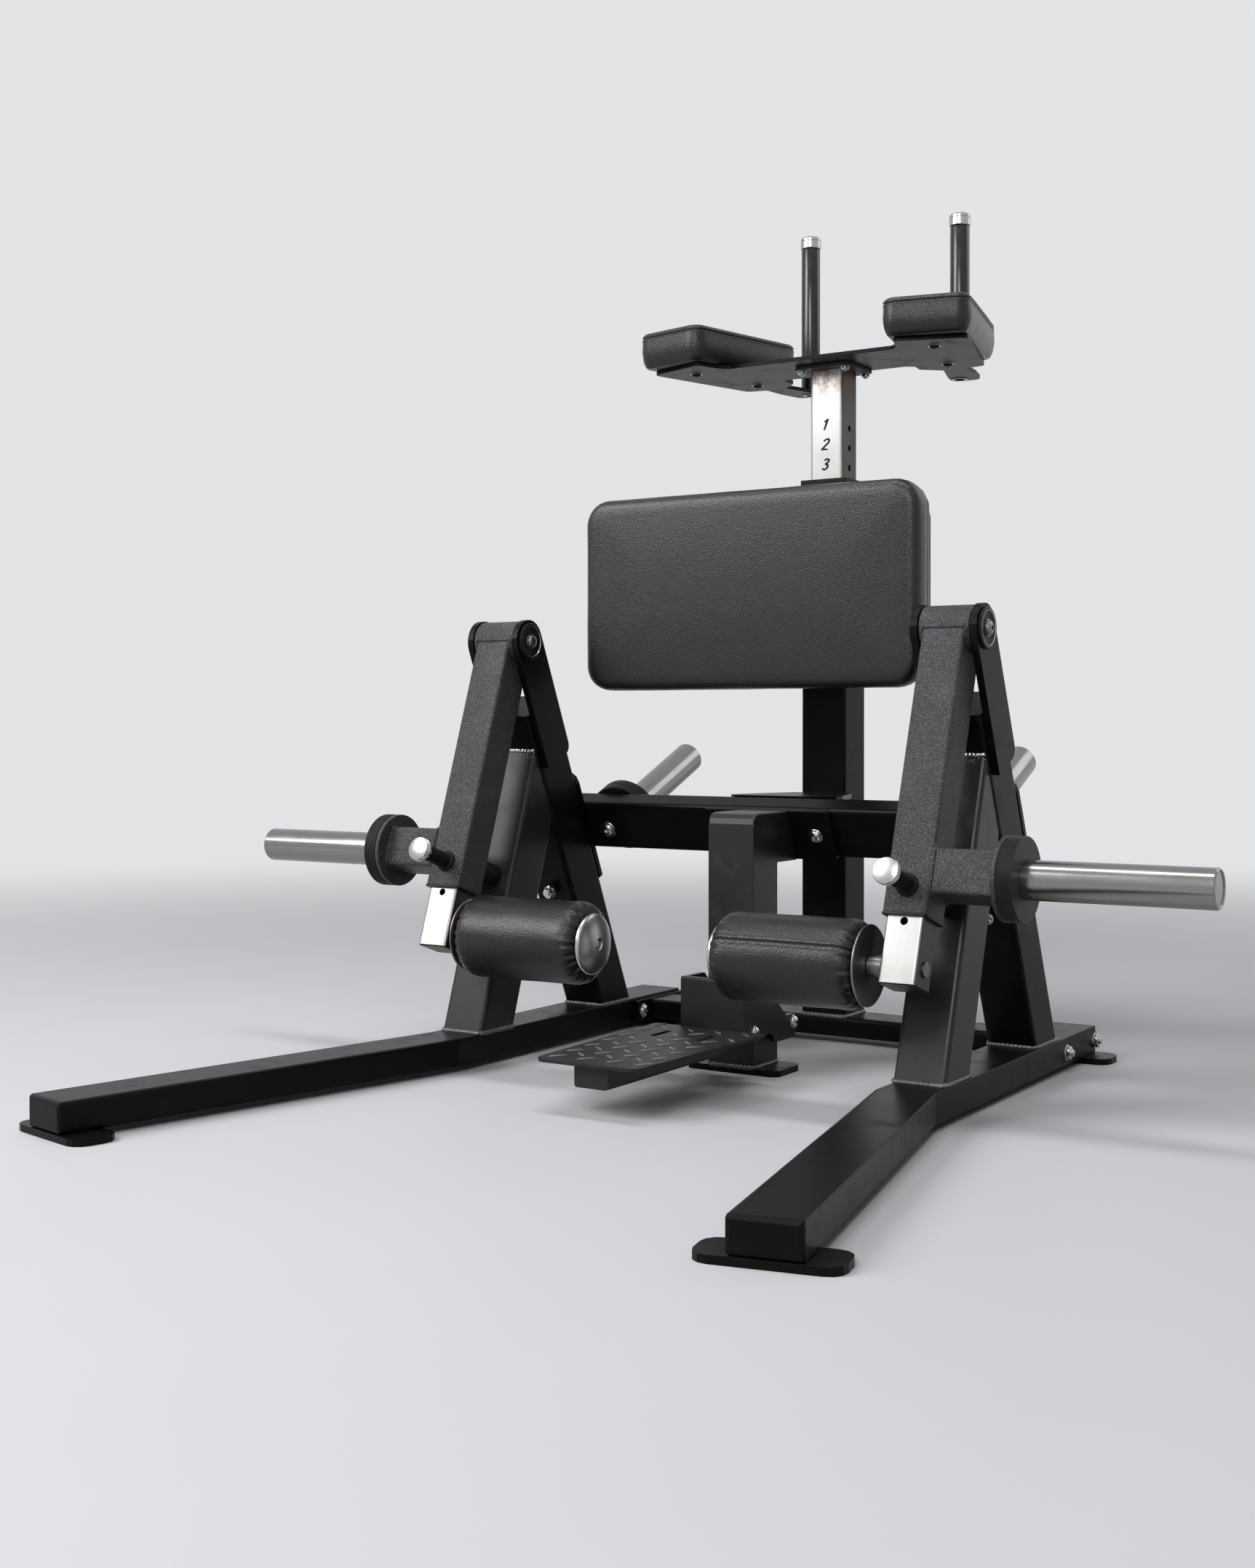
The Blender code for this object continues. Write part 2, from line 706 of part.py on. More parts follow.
def build_weight_horn(tag, side):
    """The round flange on the stub and the sleeve that takes the plates."""
    x = side * (LEG_X + ARM_W / 2 + STUB_LENGTH + GAP)
    place = arm_frame(x) @ move(z=-HORN_S) @ toward_x(side)
    edge = 0.001
    flange = turned(f"horn_flange_{tag}", [
        (HORN_R + GAP, FLANGE_T), (FLANGE_R - edge, FLANGE_T), (FLANGE_R, FLANGE_T - edge),
        (FLANGE_R, edge), (FLANGE_R - edge, 0), (HORN_R + GAP, 0)], place, RUBBER)
    end = FLANGE_T + HORN_LENGTH
    inner = HORN_R - HORN_WALL
    horn = turned(f"weight_horn_{tag}", [
        (0, end), (HORN_R - HORN_CHAMFER, end), (HORN_R, end - HORN_CHAMFER), (HORN_R, 0),
        (inner, 0), (inner, end - HORN_WALL), (0, end - HORN_WALL)], place, STAINLESS)
    return flange, horn


def pin_body_profile(length):
    """Threaded barrel of a spring pin with its locking collar at the foot."""
    bore = PIN_STEM_R + RUN
    return [(bore, length), (PIN_BODY_R - 0.001, length), (PIN_BODY_R, length - 0.001),
            (PIN_BODY_R, PIN_COLLAR_T), (PIN_COLLAR_R, PIN_COLLAR_T), (PIN_COLLAR_R, 0), (bore, 0)]


def plunger_profile(depth, length):
    """Nose, stem and knurled head; depth is how far the nose reaches below the barrel's foot."""
    low = length + PIN_NECK
    high = low + PIN_HEAD_T
    edge = 0.0015
    return [(0, high), (PIN_HEAD_R - edge, high), (PIN_HEAD_R, high - edge), (PIN_HEAD_R, low),
            (PIN_STEM_R, low), (PIN_STEM_R, PIN_COLLAR_T), (PIN_NOSE_R, PIN_COLLAR_T - 0.001),
            (PIN_NOSE_R, -depth), (0, -depth)]


def build_arm_pin(tag, side):
    place = arm_frame(side * LEG_X) @ move(y=-ARM_W / 2 - GAP, z=-PIN_S) @ FORWARD
    body = turned(f"pin_housing_{tag}", pin_body_profile(PIN_BODY_L), place, PLASTIC, MEDIUM)
    depth = ARM_W / 2 + GAP - INSERT_W / 2 - PIN_STANDOFF
    plunger = turned(f"pin_plunger_{tag}", plunger_profile(depth, PIN_BODY_L), place, ALUMINIUM, MEDIUM)
    return body, plunger


def build_insert(tag, side):
    """The square tube that sets the roller's height, drilled on its front face."""
    x = side * LEG_X
    place = arm_frame(x)
    insert = prism(f"height_insert_{tag}", tube_outlines(INSERT_W, INSERT_W, INSERT_WALL, INSERT_R),
                   -INSERT_END, -INSERT_TOP, place, STAINLESS)
    first = PIN_S + HOLES_BELOW_PIN * HOLE_PITCH
    for k in range(HOLE_COUNT):
        z = -first + k * HOLE_PITCH
        cut(insert, rod(f"insert_hole_{tag}_{k}", HOLE_R, 0, INSERT_W, place @ move(z=z) @ FORWARD))
    plug = block(f"plug_{tag}", (INSERT_W - 2 * INSERT_WALL,) * 2 + (PLUG_T,),
                 (0, 0, -INSERT_END + PLUG_T / 2), place)
    fuse(insert, plug)
    spindle = rod(f"spindle_hole_{tag}", SPINDLE_R + GAP, -INSERT_W, INSERT_W,
                  place @ move(z=-ROLLER_S) @ toward_x(1), MEDIUM)
    return smooth(cut(insert, spindle))


def roller_frame(tag, side):
    """On the roller's axis in the plane of the insert's middle, with Z pointing inward."""
    return arm_frame(side * LEG_X) @ move(z=-ROLLER_S) @ toward_x(-side)


def build_roller(tag, side):
    place = roller_frame(tag, side)
    disc = LEG_X - DISC_FACE_X
    foam = LEG_X - FOAM_OUTER_X
    dome = LEG_X - DOME_FACE_X
    tip = dome + DOME_T / 2
    boss = -INSERT_W / 2 - SPINDLE_BOSS
    spindle = turned(f"roller_spindle_{tag}", [
        (0, tip - GAP), (SPINDLE_R - 0.001, tip - GAP), (SPINDLE_R, tip - GAP - 0.001),
        (SPINDLE_R, boss + 0.001), (SPINDLE_R - 0.001, boss), (0, boss)], place, STAINLESS, MEDIUM)
    bore = SPINDLE_R + RUN
    drop = DOME_T - DOME_RIM
    radius = (DOME_R ** 2 + drop ** 2) / (2 * drop)
    sweep = math.degrees(math.asin(DOME_R / radius))
    crown = arc((0, dome + DOME_T - radius), radius, 90, 90 - sweep, 4)
    core = turned(f"roller_core_{tag}", crown + [
        (DOME_R, dome), (CORE_R, dome), (CORE_R, disc + DISC_T), (DISC_R, disc + DISC_T),
        (DISC_R, disc), (bore, disc), (bore, tip), (0, tip)], place, POLISHED)
    pad = turned(f"roller_pad_{tag}", foam_profile(foam), place, LEATHER)
    return spindle, core, pad


def foam_profile(start):
    """A foam roll whose cover is gathered over the rounded ends."""
    low = start + FOAM_ROUND
    high = start + FOAM_L - FOAM_ROUND
    inner = CORE_R + GAP
    ring = FOAM_R - FOAM_ROUND
    top = arc((ring, high), FOAM_ROUND, 90, 0, 4)
    bottom = arc((ring, low), FOAM_ROUND, 0, -90, 4)
    dip = 0.004
    return ([(inner, start + FOAM_L - dip), (ring * 0.62, start + FOAM_L - dip / 2)] + top + bottom
            + [(ring * 0.62, start + dip / 2), (inner, start + dip)])


def build_stop(tag, side):
    """A rubber buffer on the front leg's face, on a bolt that goes through to a nut."""
    place = front_frame(side * LEG_X) @ move(z=STOP_UP) @ FORWARD
    here = front_frame(0) @ Vector((0, -LEG_D / 2, STOP_UP))
    in_arm = arm_frame(0).inverted() @ here
    face = LEG_D / 2 + GAP
    tip = LEG_D / 2 + in_arm.y - ARM_W / 2 - STOP_REST
    back = -face - STOP_HEAD_H
    turned(f"arm_stop_{tag}", [
        (0, tip), (STOP_R - 0.003, tip), (STOP_R - 0.0008, tip - 0.0012), (STOP_R, tip - 0.004),
        (STOP_R, face), (STOP_BOLT_R, face), (STOP_BOLT_R, -face), (STOP_HEAD_R, -face),
        (STOP_HEAD_R, back + 0.001), (STOP_HEAD_R - 0.001, back), (0, back)], place, RUBBER, MEDIUM)


def build_swing_side(tag, side):
    arm = build_swing_arm(tag, side)
    flange, horn = build_weight_horn(tag, side)
    body, plunger = build_arm_pin(tag, side)
    insert = build_insert(tag, side)
    spindle, core, pad = build_roller(tag, side)
    carry(arm, flange, horn, body, plunger, insert)
    carry(insert, spindle, core)
    carry(core, pad)
    build_stop(tag, side)


def build_crossbeam():
    """The upper tube across both rear legs, turned with them."""
    half = LEG_X + LEG_W / 2 - BEAM_SHORT
    centre = (BEAM_T + BEAM_D / 2, -BEAM_S)
    place = rear_frame(0) @ FACING_X
    beam = prism("crossbeam", [box_outline(BEAM_D, BEAM_H, TUBE_R, centre)], -half, half, place, SATIN)
    hollow = prism("beam_hollow", [box_outline(BEAM_D - 2 * WALL, BEAM_H - 2 * WALL, WALL, centre, 1)],
                   -half + WALL, half - WALL, place)
    cut(beam, hollow)
    for tag, side in SIDES:
        cut(beam, rod(f"store_hole_{tag}", STORE_BOLT_R + GAP, 0, BEAM_T + BEAM_D * 2,
                      store_frame(side) @ BACK))
    smooth(beam)
    outline = fillet([(-LEG_W / 2, -BEAM_S - LEG_PLATE_BOTTOM), (LEG_W / 2, -BEAM_S - LEG_PLATE_BOTTOM),
                      (LEG_W / 2, -BEAM_S + LEG_PLATE_TOP), (-LEG_W / 2, -BEAM_S + LEG_PLATE_TOP)],
                     (0.003, 0.003, LEG_PLATE_R, LEG_PLATE_R))
    low = LEG_D / 2 + GAP
    for tag, side in SIDES:
        place = rear_frame(side * LEG_X) @ FACING_Y
        smooth(prism(f"leg_plate_{tag}", [outline], -low - LEG_PLATE_T, -low, place, SATIN))


def build_storage_horn(tag, side):
    """One bolt through the beam holds the washer in front and the discs and sleeve behind."""
    front = BEAM_T - GAP
    rear = BEAM_T + BEAM_D + GAP
    stack = rear + STORE_DISC_COUNT * STORE_DISC_T
    end = stack + STORE_LENGTH
    inner = STORE_R - STORE_WALL
    profile = [(0, rear + STORE_WALL), (inner, rear + STORE_WALL), (inner, end),
               (STORE_R - HORN_CHAMFER, end), (STORE_R, end - HORN_CHAMFER), (STORE_R, stack)]
    for k in range(STORE_DISC_COUNT):
        high = stack - k * STORE_DISC_T
        low = high - STORE_DISC_T
        profile += [(STORE_DISC_R - STORE_GROOVE, high), (STORE_DISC_R, high - STORE_GROOVE),
                    (STORE_DISC_R, low + STORE_GROOVE), (STORE_DISC_R - STORE_GROOVE, low)]
        if k + 1 < STORE_DISC_COUNT:
            profile.pop()
    head = front - STORE_WASHER_T
    profile += [(STORE_BOLT_R, rear), (STORE_BOLT_R, front), (STORE_WASHER_R, front),
                (STORE_WASHER_R, head), (BUTTON_R, head),
                (BUTTON_R * 0.7, head - BUTTON_H), (0, head - BUTTON_H)]
    place = store_frame(side) @ BACK
    return turned(f"storage_horn_{tag}", profile, place, STAINLESS, MEDIUM)


def build_post():
    """The centre post turns back at its top and meets the beam's flange."""
    flange_face = BEAM_T - GAP - CENTRE_FLANGE_T
    low = POST_TOP - POST_W
    far = POST_W * 3
    outline = fillet([(-POST_W / 2, RAIL_LOW), (POST_W / 2, RAIL_LOW), (POST_W / 2, low), (far, low),
                      (far, POST_TOP), (-POST_W / 2, POST_TOP)],
                     (0, 0, 0.002, 0, 0, POST_ELBOW_R))
    inner = fillet([(-POST_W / 2 + WALL, RAIL_LOW - WALL), (POST_W / 2 - WALL, RAIL_LOW - WALL),
                    (POST_W / 2 - WALL, low + WALL), (far + WALL, low + WALL),
                    (far + WALL, POST_TOP - WALL), (-POST_W / 2 + WALL, POST_TOP - WALL)],
                   (0, 0, 0.002, 0, 0, POST_ELBOW_R - WALL))
    half = POST_W / 2
    post = prism("centre_post", [outline], -half, half, FACING_X, SATIN)
    bevel = post.modifiers.new("Edges", "BEVEL")
    bevel.width = TUBE_R
    bevel.segments = 2
    bevel.angle_limit = math.radians(60)
    hollow = prism("post_hollow", [inner], -half + WALL, half - WALL, FACING_X)
    reach = PIVOT_Z
    behind = block("post_behind", (reach, reach, reach * 4),
                   (0, reach / 2 + flange_face - GAP, -BEAM_S), rear_frame(0))
    holes = [rod(f"post_bolt_{i}", BRACKET_BOLT_R + GAP, -POST_W, POST_W, move(0, y, z) @ toward_x(1))
             for i, (y, z) in enumerate(BRACKET_BOLTS) if abs(y) < POST_W / 2]
    smooth(cut(post, hollow, behind, *holes))
    outline = box_outline(2 * CENTRE_FLANGE_X, BEAM_H, 0.004, (0, -BEAM_S))
    holes = [ring_outline(CENTRE_BOLT_R, (side * CENTRE_BOLT_X, -BEAM_S), SMALL) for tag, side in SIDES]
    smooth(prism("centre_flange", [outline, *holes], -flange_face - CENTRE_FLANGE_T, -flange_face,
                 rear_frame(0) @ FACING_Y, SATIN))
    outline = box_outline(BASE_PLATE_L, BASE_PLATE_W, BASE_PLATE_R)
    smooth(prism("post_base_plate", [outline], 0, FOOT_T, Matrix.Identity(4), SATIN))


def build_foot_bracket():
    """A folded plate clasps the post from the front and carries the tread's square tube."""
    half = BRACKET_X
    tread_low = TREAD_TOP - TREAD_T - GAP
    side_outline = fillet([(BRACKET_FRONT, BRACKET_LOW), (LUG_STEP_Y, BRACKET_LOW),
                           (LUG_STEP_Y + (BRACKET_LOW - LUG_LOW), LUG_LOW),
                           (LUG_END - LUG_CHAMFER, LUG_LOW), (LUG_END, LUG_LOW + LUG_CHAMFER),
                           (LUG_END, LUG_HIGH - LUG_CHAMFER), (LUG_END - LUG_CHAMFER, LUG_HIGH),
                           (POST_W / 2, LUG_HIGH), (-POST_W / 2, BRACKET_HIGH),
                           (BRACKET_FRONT, BRACKET_HIGH)], BRACKET_EDGE, 1)
    bracket = prism("foot_bracket", [side_outline], -half, half, FACING_X, SATIN)
    inner = half - BRACKET_T
    depth = LUG_END - BRACKET_FRONT
    pocket = block("bracket_pocket", (2 * inner, depth, BRACKET_HIGH * 2),
                   (0, BRACKET_FRONT + BRACKET_T + depth / 2, BRACKET_HIGH / 2), Matrix.Identity(4))
    cut(bracket, pocket)
    high = tread_low
    outer = box_outline(ARM_TUBE_W, ARM_TUBE_H, 0.004, (0, high - ARM_TUBE_H / 2))
    tube = prism("tread_tube", [outer], -BRACKET_FRONT - BRACKET_T / 2, -ARM_TUBE_END, FACING_Y)
    fuse(bracket, tube)
    inner_tube = box_outline(ARM_TUBE_W - 2 * WALL, ARM_TUBE_H - 2 * WALL, 0.001,
                             (0, high - ARM_TUBE_H / 2), 1)
    hollow = prism("tread_tube_hollow", [inner_tube], -BRACKET_FRONT, -ARM_TUBE_END - WALL, FACING_Y)
    vent = rod("tread_tube_vent", RAIL_VENT_R, 0, high - ARM_TUBE_H / 2,
               move(0, (BRACKET_FRONT + ARM_TUBE_END) / 2, 0))
    cut(bracket, hollow, vent)
    for i, (y, z) in enumerate(BRACKET_BOLTS):
        cut(bracket, rod(f"bracket_bolt_{i}", BRACKET_BOLT_R, -half * 2, half * 2,
                         move(0, y, z) @ toward_x(1)))
    smooth(bracket)


def build_tread():
    front = (TREAD_FRONT_X, TREAD_FRONT_Y)
    rear = (TREAD_REAR_X, TREAD_REAR_Y)
    outline = fillet([(-front[0], front[1]), front, rear, (-rear[0], rear[1])],
                     (TREAD_R, TREAD_R, 0.004, 0.004))
    slots = [box_outline(SLOT_W, SLOT_L, SLOT_W / 2 - 0.0001, (side * SLOT_X, SLOT_Y))
             for tag, side in SIDES]
    tread = prism("tread_plate", [outline, *slots], TREAD_TOP - TREAD_T, TREAD_TOP,
                  Matrix.Identity(4), SATIN)
    smooth(tread)


def build_mast():
    place = move(0, BAR_Y, 0)
    low = BAR_TOP + GAP
    mast = prism("mast", [box_outline(MAST_W, MAST_W, TUBE_R)], low, MAST_TOP, place, SATIN)
    rear_corner = rear_frame(0) @ Vector((0, BEAM_T + BEAM_D, -BEAM_S + BEAM_H / 2))
    gusset_low = rear_corner.z + GUSSET_RISE - GUSSET_T
    front_y = rear_corner.y - GUSSET_REACH
    outline = [(-GUSSET_REAR_X, MAST_FRONT_Y + WALL / 2), (-GUSSET_FRONT_X, front_y + GUSSET_CHAMFER * 2),
               (-GUSSET_FRONT_X, front_y + GUSSET_CHAMFER), (-GUSSET_FRONT_X + GUSSET_CHAMFER, front_y)]
    outline = outline + [(-x, y) for x, y in reversed(outline)]
    gusset = prism("gusset", [outline], gusset_low, gusset_low + GUSSET_T, Matrix.Identity(4))
    brace_high = gusset_low + GUSSET_T / 2
    brace = prism("brace", [box_outline(BRACE_W, BRACE_W, TUBE_R, (0, brace_high - BRACE_W / 2))],
                  -MAST_FRONT_Y - WALL / 2, 0, FACING_Y)
    beam_side = block("brace_end", (GUSSET_FRONT_X * 3, MAST_TOP, BEAM_H * 3),
                      (0, BEAM_T + BEAM_D + GAP - MAST_TOP / 2, -BEAM_S), rear_frame(0))
    fuse(mast, gusset, brace)
    cut(mast, beam_side)
    inside = MAST_W - 2 * WALL
    hollow = prism("mast_hollow", [box_outline(inside, inside, WALL, steps=1)], low - WALL,
                   MAST_TOP + WALL, place)
    inside = BRACE_W - 2 * WALL
    brace_hollow = prism("brace_hollow",
                         [box_outline(inside, inside, WALL, (0, brace_high - BRACE_W / 2), 1)],
                         -MAST_FRONT_Y - 2 * WALL, 0, FACING_Y)
    pin = rod("mast_pin_hole", PIN_NOSE_R + RUN, 0, MAST_W, move(0, BAR_Y, MAST_PIN_Z) @ toward_x(1))
    smooth(cut(mast, hollow, brace_hollow, pin))


def build_collar():
    """A thick ring on the mast's top with a bore that guides the sliding post."""
    place = move(0, BAR_Y, 0)
    low = MAST_TOP + GAP
    width = MAST_W + 2 * COLLAR_EDGE
    bore = box_outline(SLIDER_W + 2 * SLIDE, SLIDER_W + 2 * SLIDE, 0.001)
    smooth(prism("mast_collar", [box_outline(width, width, COLLAR_CORNER), bore], low, low + COLLAR_H,
                 place, PLASTIC))


def build_mast_pin():
    place = move(MAST_W / 2 + GAP, BAR_Y, MAST_PIN_Z) @ toward_x(1)
    turned("mast_pin_housing", pin_body_profile(PIN_BODY_L), place, PLASTIC, MEDIUM)
    depth = MAST_W / 2 + GAP - SLIDER_W / 2 - PIN_STANDOFF
    return turned("mast_pin_plunger", plunger_profile(depth, PIN_BODY_L), place, ALUMINIUM, MEDIUM)


def build_slider():
    """The post that carries the arm rest, with a drilled row down its right-hand face."""
    place = move(0, BAR_Y, 0)
    top = PLATE_Z - GAP
    post = prism("telescoping_post", tube_outlines(SLIDER_W, SLIDER_W, WALL, SLIDER_R), SLIDER_BOTTOM,
                 top - TOP_FLANGE_T / 2, place, STAINLESS)
    corners = [(a * TOP_BOLT_X, b * TOP_BOLT_X) for a in (-1, 1) for b in (-1, 1)]
    holes = [ring_outline(TOP_BOLT_R, corner, SMALL) for corner in corners]
    flange = prism("top_flange", [box_outline(TOP_FLANGE_W, TOP_FLANGE_W, 0.012), *holes],
                   top - TOP_FLANGE_T, top, place)
    fuse(post, flange)
    for k in range(SLIDER_HOLES):
        z = SLIDER_HOLE_TOP - k * SLIDER_PITCH
        cut(post, rod(f"post_hole_{k}", HOLE_R, 0, SLIDER_W, place @ move(z=z) @ toward_x(1)))
    return smooth(post)


def build_arm_plate():
    """One plate under both elbow pads, with a tab behind each for its handle."""
    half = [PLATE_BROW, PLATE_STEP, PLATE_WING_ROOT, PLATE_WING_FRONT, PLATE_TIP, PLATE_REAR,
            PLATE_NOTCH, TAB_SIDE, TAB_OUTER, TAB_INNER, TAB_HIP, TAB_ROOT, PLATE_HEEL, PLATE_HOLLOW,
            PLATE_SEAT]
    radii = [PLATE_CORNER / 2, STEP_CORNER, STEP_CORNER, STEP_CORNER, PLATE_CORNER, PLATE_CORNER,
             STEP_CORNER, 0, TAB_CORNER, TAB_CORNER, STEP_CORNER, STEP_CORNER, PLATE_CORNER,
             STEP_CORNER, STEP_CORNER]
    points = half + [(-x, y) for x, y in reversed(half)]
    holes = [ring_outline(HANDLE_R + GAP, (side * HANDLE_X, HANDLE_Y)) for tag, side in SIDES]
    corners = [(a * TOP_BOLT_X, BAR_Y + b * TOP_BOLT_X) for a in (-1, 1) for b in (-1, 1)]
    holes += [ring_outline(TOP_BOLT_R, corner, SMALL) for corner in corners]
    plate = prism("arm_plate", [fillet(points, radii + radii[::-1]), *holes], PLATE_Z,
                  PLATE_Z + PLATE_T, Matrix.Identity(4), SATIN)
    return smooth(plate)


def cushion(name, half_x, half_y, height, corner, crown, back, place):
    """An upholstered block: a cage of rounded rings, full at its waist and drawn in at both edges."""
    edge = height * 0.22
    rings = ((0.0, back), (height * 0.10, back * 0.6), (height * 0.50, 0.0), (height - edge, 0.0005),
             (height - edge * 0.35, edge * 0.30), (height, edge * 1.05),
             (height + crown, edge * 1.05 + min(half_x, half_y) * 0.40))
    work = bmesh.new()
    previous = None
    for z, inset in rings:
        outline = fillet([(-half_x + inset, -half_y + inset), (half_x - inset, -half_y + inset),
                          (half_x - inset, half_y - inset), (-half_x + inset, half_y - inset)],
                         max(corner - inset, corner * 0.35), 3)
        outline = subdivide_long(outline)
        ring = [work.verts.new((x, y, z)) for x, y in outline]
        if previous is None:
            work.faces.new(reversed(ring))
        else:
            for i in range(len(ring)):
                j = (i + 1) % len(ring)
                work.faces.new((previous[i], previous[j], ring[j], ring[i]))
        previous = ring
    work.faces.new(previous)
    mesh = bpy.data.meshes.new(name)
    work.to_mesh(mesh)
    work.free()
    obj = place_object(name, mesh, place, LEATHER)
    soft = obj.modifiers.new("Soft", "SUBSURF")
    soft.levels = 1
    soft.render_levels = 1
    mesh.shade_smooth()
    return obj


def subdivide_long(outline):
    """Adds a point to each straight run between the rounded corners."""
    out = []
    for i, point in enumerate(outline):
        out.append(point)
        if i % 4 == 3:
            after = outline[(i + 1) % len(outline)]
            out.append(point.lerp(after, 0.5))
    return out


def build_elbow_pad(tag, side):
    place = move(side * ELBOW_X, ELBOW_Y, PLATE_Z + PLATE_T + GAP)
    place = place @ Matrix.Rotation(side * ELBOW_TOE, 4, "Z")
    return cushion(f"elbow_pad_{tag}", ELBOW_W / 2, ELBOW_L / 2, ELBOW_H - ELBOW_CROWN, ELBOW_CORNER,
                   ELBOW_CROWN, ELBOW_BACK, place)


def build_handle(tag, side):
    """A tube through the tab with a foam grip and a turned cap."""
    low = -HANDLE_BELOW
    grip_low = PLATE_T + GRIP_CLEAR
    top = HANDLE_TOP - PLATE_Z
    cap = top - HANDLE_CAP_H
    inner = HANDLE_R - HANDLE_WALL
    edge = 0.002
    place = move(side * HANDLE_X, HANDLE_Y, PLATE_Z)
    return turned(f"handle_{tag}", [
        (0, top), (HANDLE_CAP_R - edge, top), (HANDLE_CAP_R, top - edge), (HANDLE_CAP_R, cap + edge),
        (HANDLE_CAP_R - edge, cap), (GRIP_R, cap), (GRIP_R, grip_low), (HANDLE_R, grip_low),
        (HANDLE_R, low), (inner, low), (inner, cap), (0, cap)], place, RUBBER, MEDIUM)


def build_thigh_pad():
    middle = (PAD_LOW + PAD_HIGH) / 2
    face = PAD_FRONT_Y + PAD_T
    place = move(0, face, middle) @ FORWARD
    cushion("thigh_pad", PAD_X, (PAD_HIGH - PAD_LOW) / 2, PAD_T - PAD_CROWN, PAD_CORNER, PAD_CROWN,
            PAD_BACK, place)
    width = 2 * (PAD_X - BOARD_INSET)
    height = PAD_HIGH - PAD_LOW - 2 * BOARD_INSET
    board_low = face + GAP
    smooth(prism("pad_board", [box_outline(width, height, PAD_CORNER - BOARD_INSET, (0, middle))],
                 -board_low - BOARD_T, -board_low, FACING_Y, PLASTIC))
    start = board_low + BOARD_T + GAP
    plate = prism("pad_bracket", [box_outline(*BRACKET_PLATE, 0.012, (0, middle))],
                  -start - BRACKET_PLATE_T, -start, FACING_Y, SATIN)
    tube = prism("pad_arm", tube_outlines(PAD_ARM_W, PAD_ARM_W, WALL, SLIDER_R, (0, middle)),
                 -MAST_FRONT_Y + GAP, -start - BRACKET_PLATE_T / 2, FACING_Y)
    smooth(fuse(plate, tube))


def build_arm_rest():
    post = build_slider()
    plate = build_arm_plate()
    carry(post, plate)
    for tag, side in SIDES:
        carry(plate, build_elbow_pad(tag, side), build_handle(tag, side))


def build_all():
    build_rails()
    build_base_crossbar()
    build_legs()
    build_ears()
    build_axles()
    for tag, side in SIDES:
        build_swing_side(tag, side)
        build_storage_horn(tag, side)
    build_crossbeam()
    build_post()
    build_foot_bracket()
    build_tread()
    build_mast()
    build_collar()
    build_mast_pin()
    build_arm_rest()
    build_thigh_pad()


build_all()
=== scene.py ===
# %% [markdown]
# # A standing hamstring machine, dressed for the studio
#
# The machine arrives as plain solids that already have their real sizes, so this lesson is about
# everything a workshop adds after the steel is cut: the powder coat, the brushed sleeves, the
# sewn pads, the weld beads and the screws. Each step says what the piece is on the real machine
# before it says how to make it.

# %% Load the machine and remember its size
import math
import random

import bmesh
import bpy
from mathutils import Matrix, Vector, noise


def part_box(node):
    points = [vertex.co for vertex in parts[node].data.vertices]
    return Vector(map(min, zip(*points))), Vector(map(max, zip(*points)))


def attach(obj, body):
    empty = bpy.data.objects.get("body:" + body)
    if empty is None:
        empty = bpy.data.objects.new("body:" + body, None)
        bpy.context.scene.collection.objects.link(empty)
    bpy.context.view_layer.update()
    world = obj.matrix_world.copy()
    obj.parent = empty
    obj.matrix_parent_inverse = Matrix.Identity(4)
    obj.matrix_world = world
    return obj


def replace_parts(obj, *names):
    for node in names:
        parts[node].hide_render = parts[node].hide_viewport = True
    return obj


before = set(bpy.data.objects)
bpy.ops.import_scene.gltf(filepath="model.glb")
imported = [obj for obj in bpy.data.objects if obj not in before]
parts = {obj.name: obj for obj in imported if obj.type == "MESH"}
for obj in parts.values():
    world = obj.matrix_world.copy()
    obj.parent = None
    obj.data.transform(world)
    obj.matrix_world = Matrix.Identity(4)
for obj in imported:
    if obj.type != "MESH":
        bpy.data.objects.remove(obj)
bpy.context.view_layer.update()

# %% [markdown]
# ## Where the camera stands
#
# The photograph was taken from the front right corner, at about knee height and almost level.
# A horizontal sensor fit keeps the lens the same for any picture size. The small shift stands for
# the crop of the picture, and keeps the uprights upright.

# %% Camera
PICTURE_W, PICTURE_H = 1725, 2156
SENSOR = 36
FOCAL_PX = 2513.2
PRINCIPAL = (858.1, 1013.0)
camera_data = bpy.data.cameras.new("camera")
camera_data.sensor_fit = "HORIZONTAL"
camera_data.sensor_width = SENSOR
camera_data.lens = SENSOR * FOCAL_PX / PICTURE_W
camera_data.shift_x = (PICTURE_W / 2 - PRINCIPAL[0]) / PICTURE_W
camera_data.shift_y = -(PICTURE_H / 2 - PRINCIPAL[1]) / PICTURE_W
camera_data.clip_start = 0.05
camera = bpy.data.objects.new("camera", camera_data)
bpy.context.scene.collection.objects.link(camera)
camera.location = (1.3029, -2.3528, 0.5060)
camera.rotation_euler = (math.radians(90 - 0.384), 0, math.radians(32.70))
bpy.context.scene.camera = camera
print("lens:", round(camera_data.lens, 2), "mm")

# %% [markdown]
# ## Writing finishes as sums
#
# A finish is a little program: grain times strength, dust where the noise is high. Node by node
# that is hard to read, so one small class wraps a socket and turns plus, minus and times into
# Math nodes. Every other node comes from one method that sets its options first and feeds its
# sockets after.

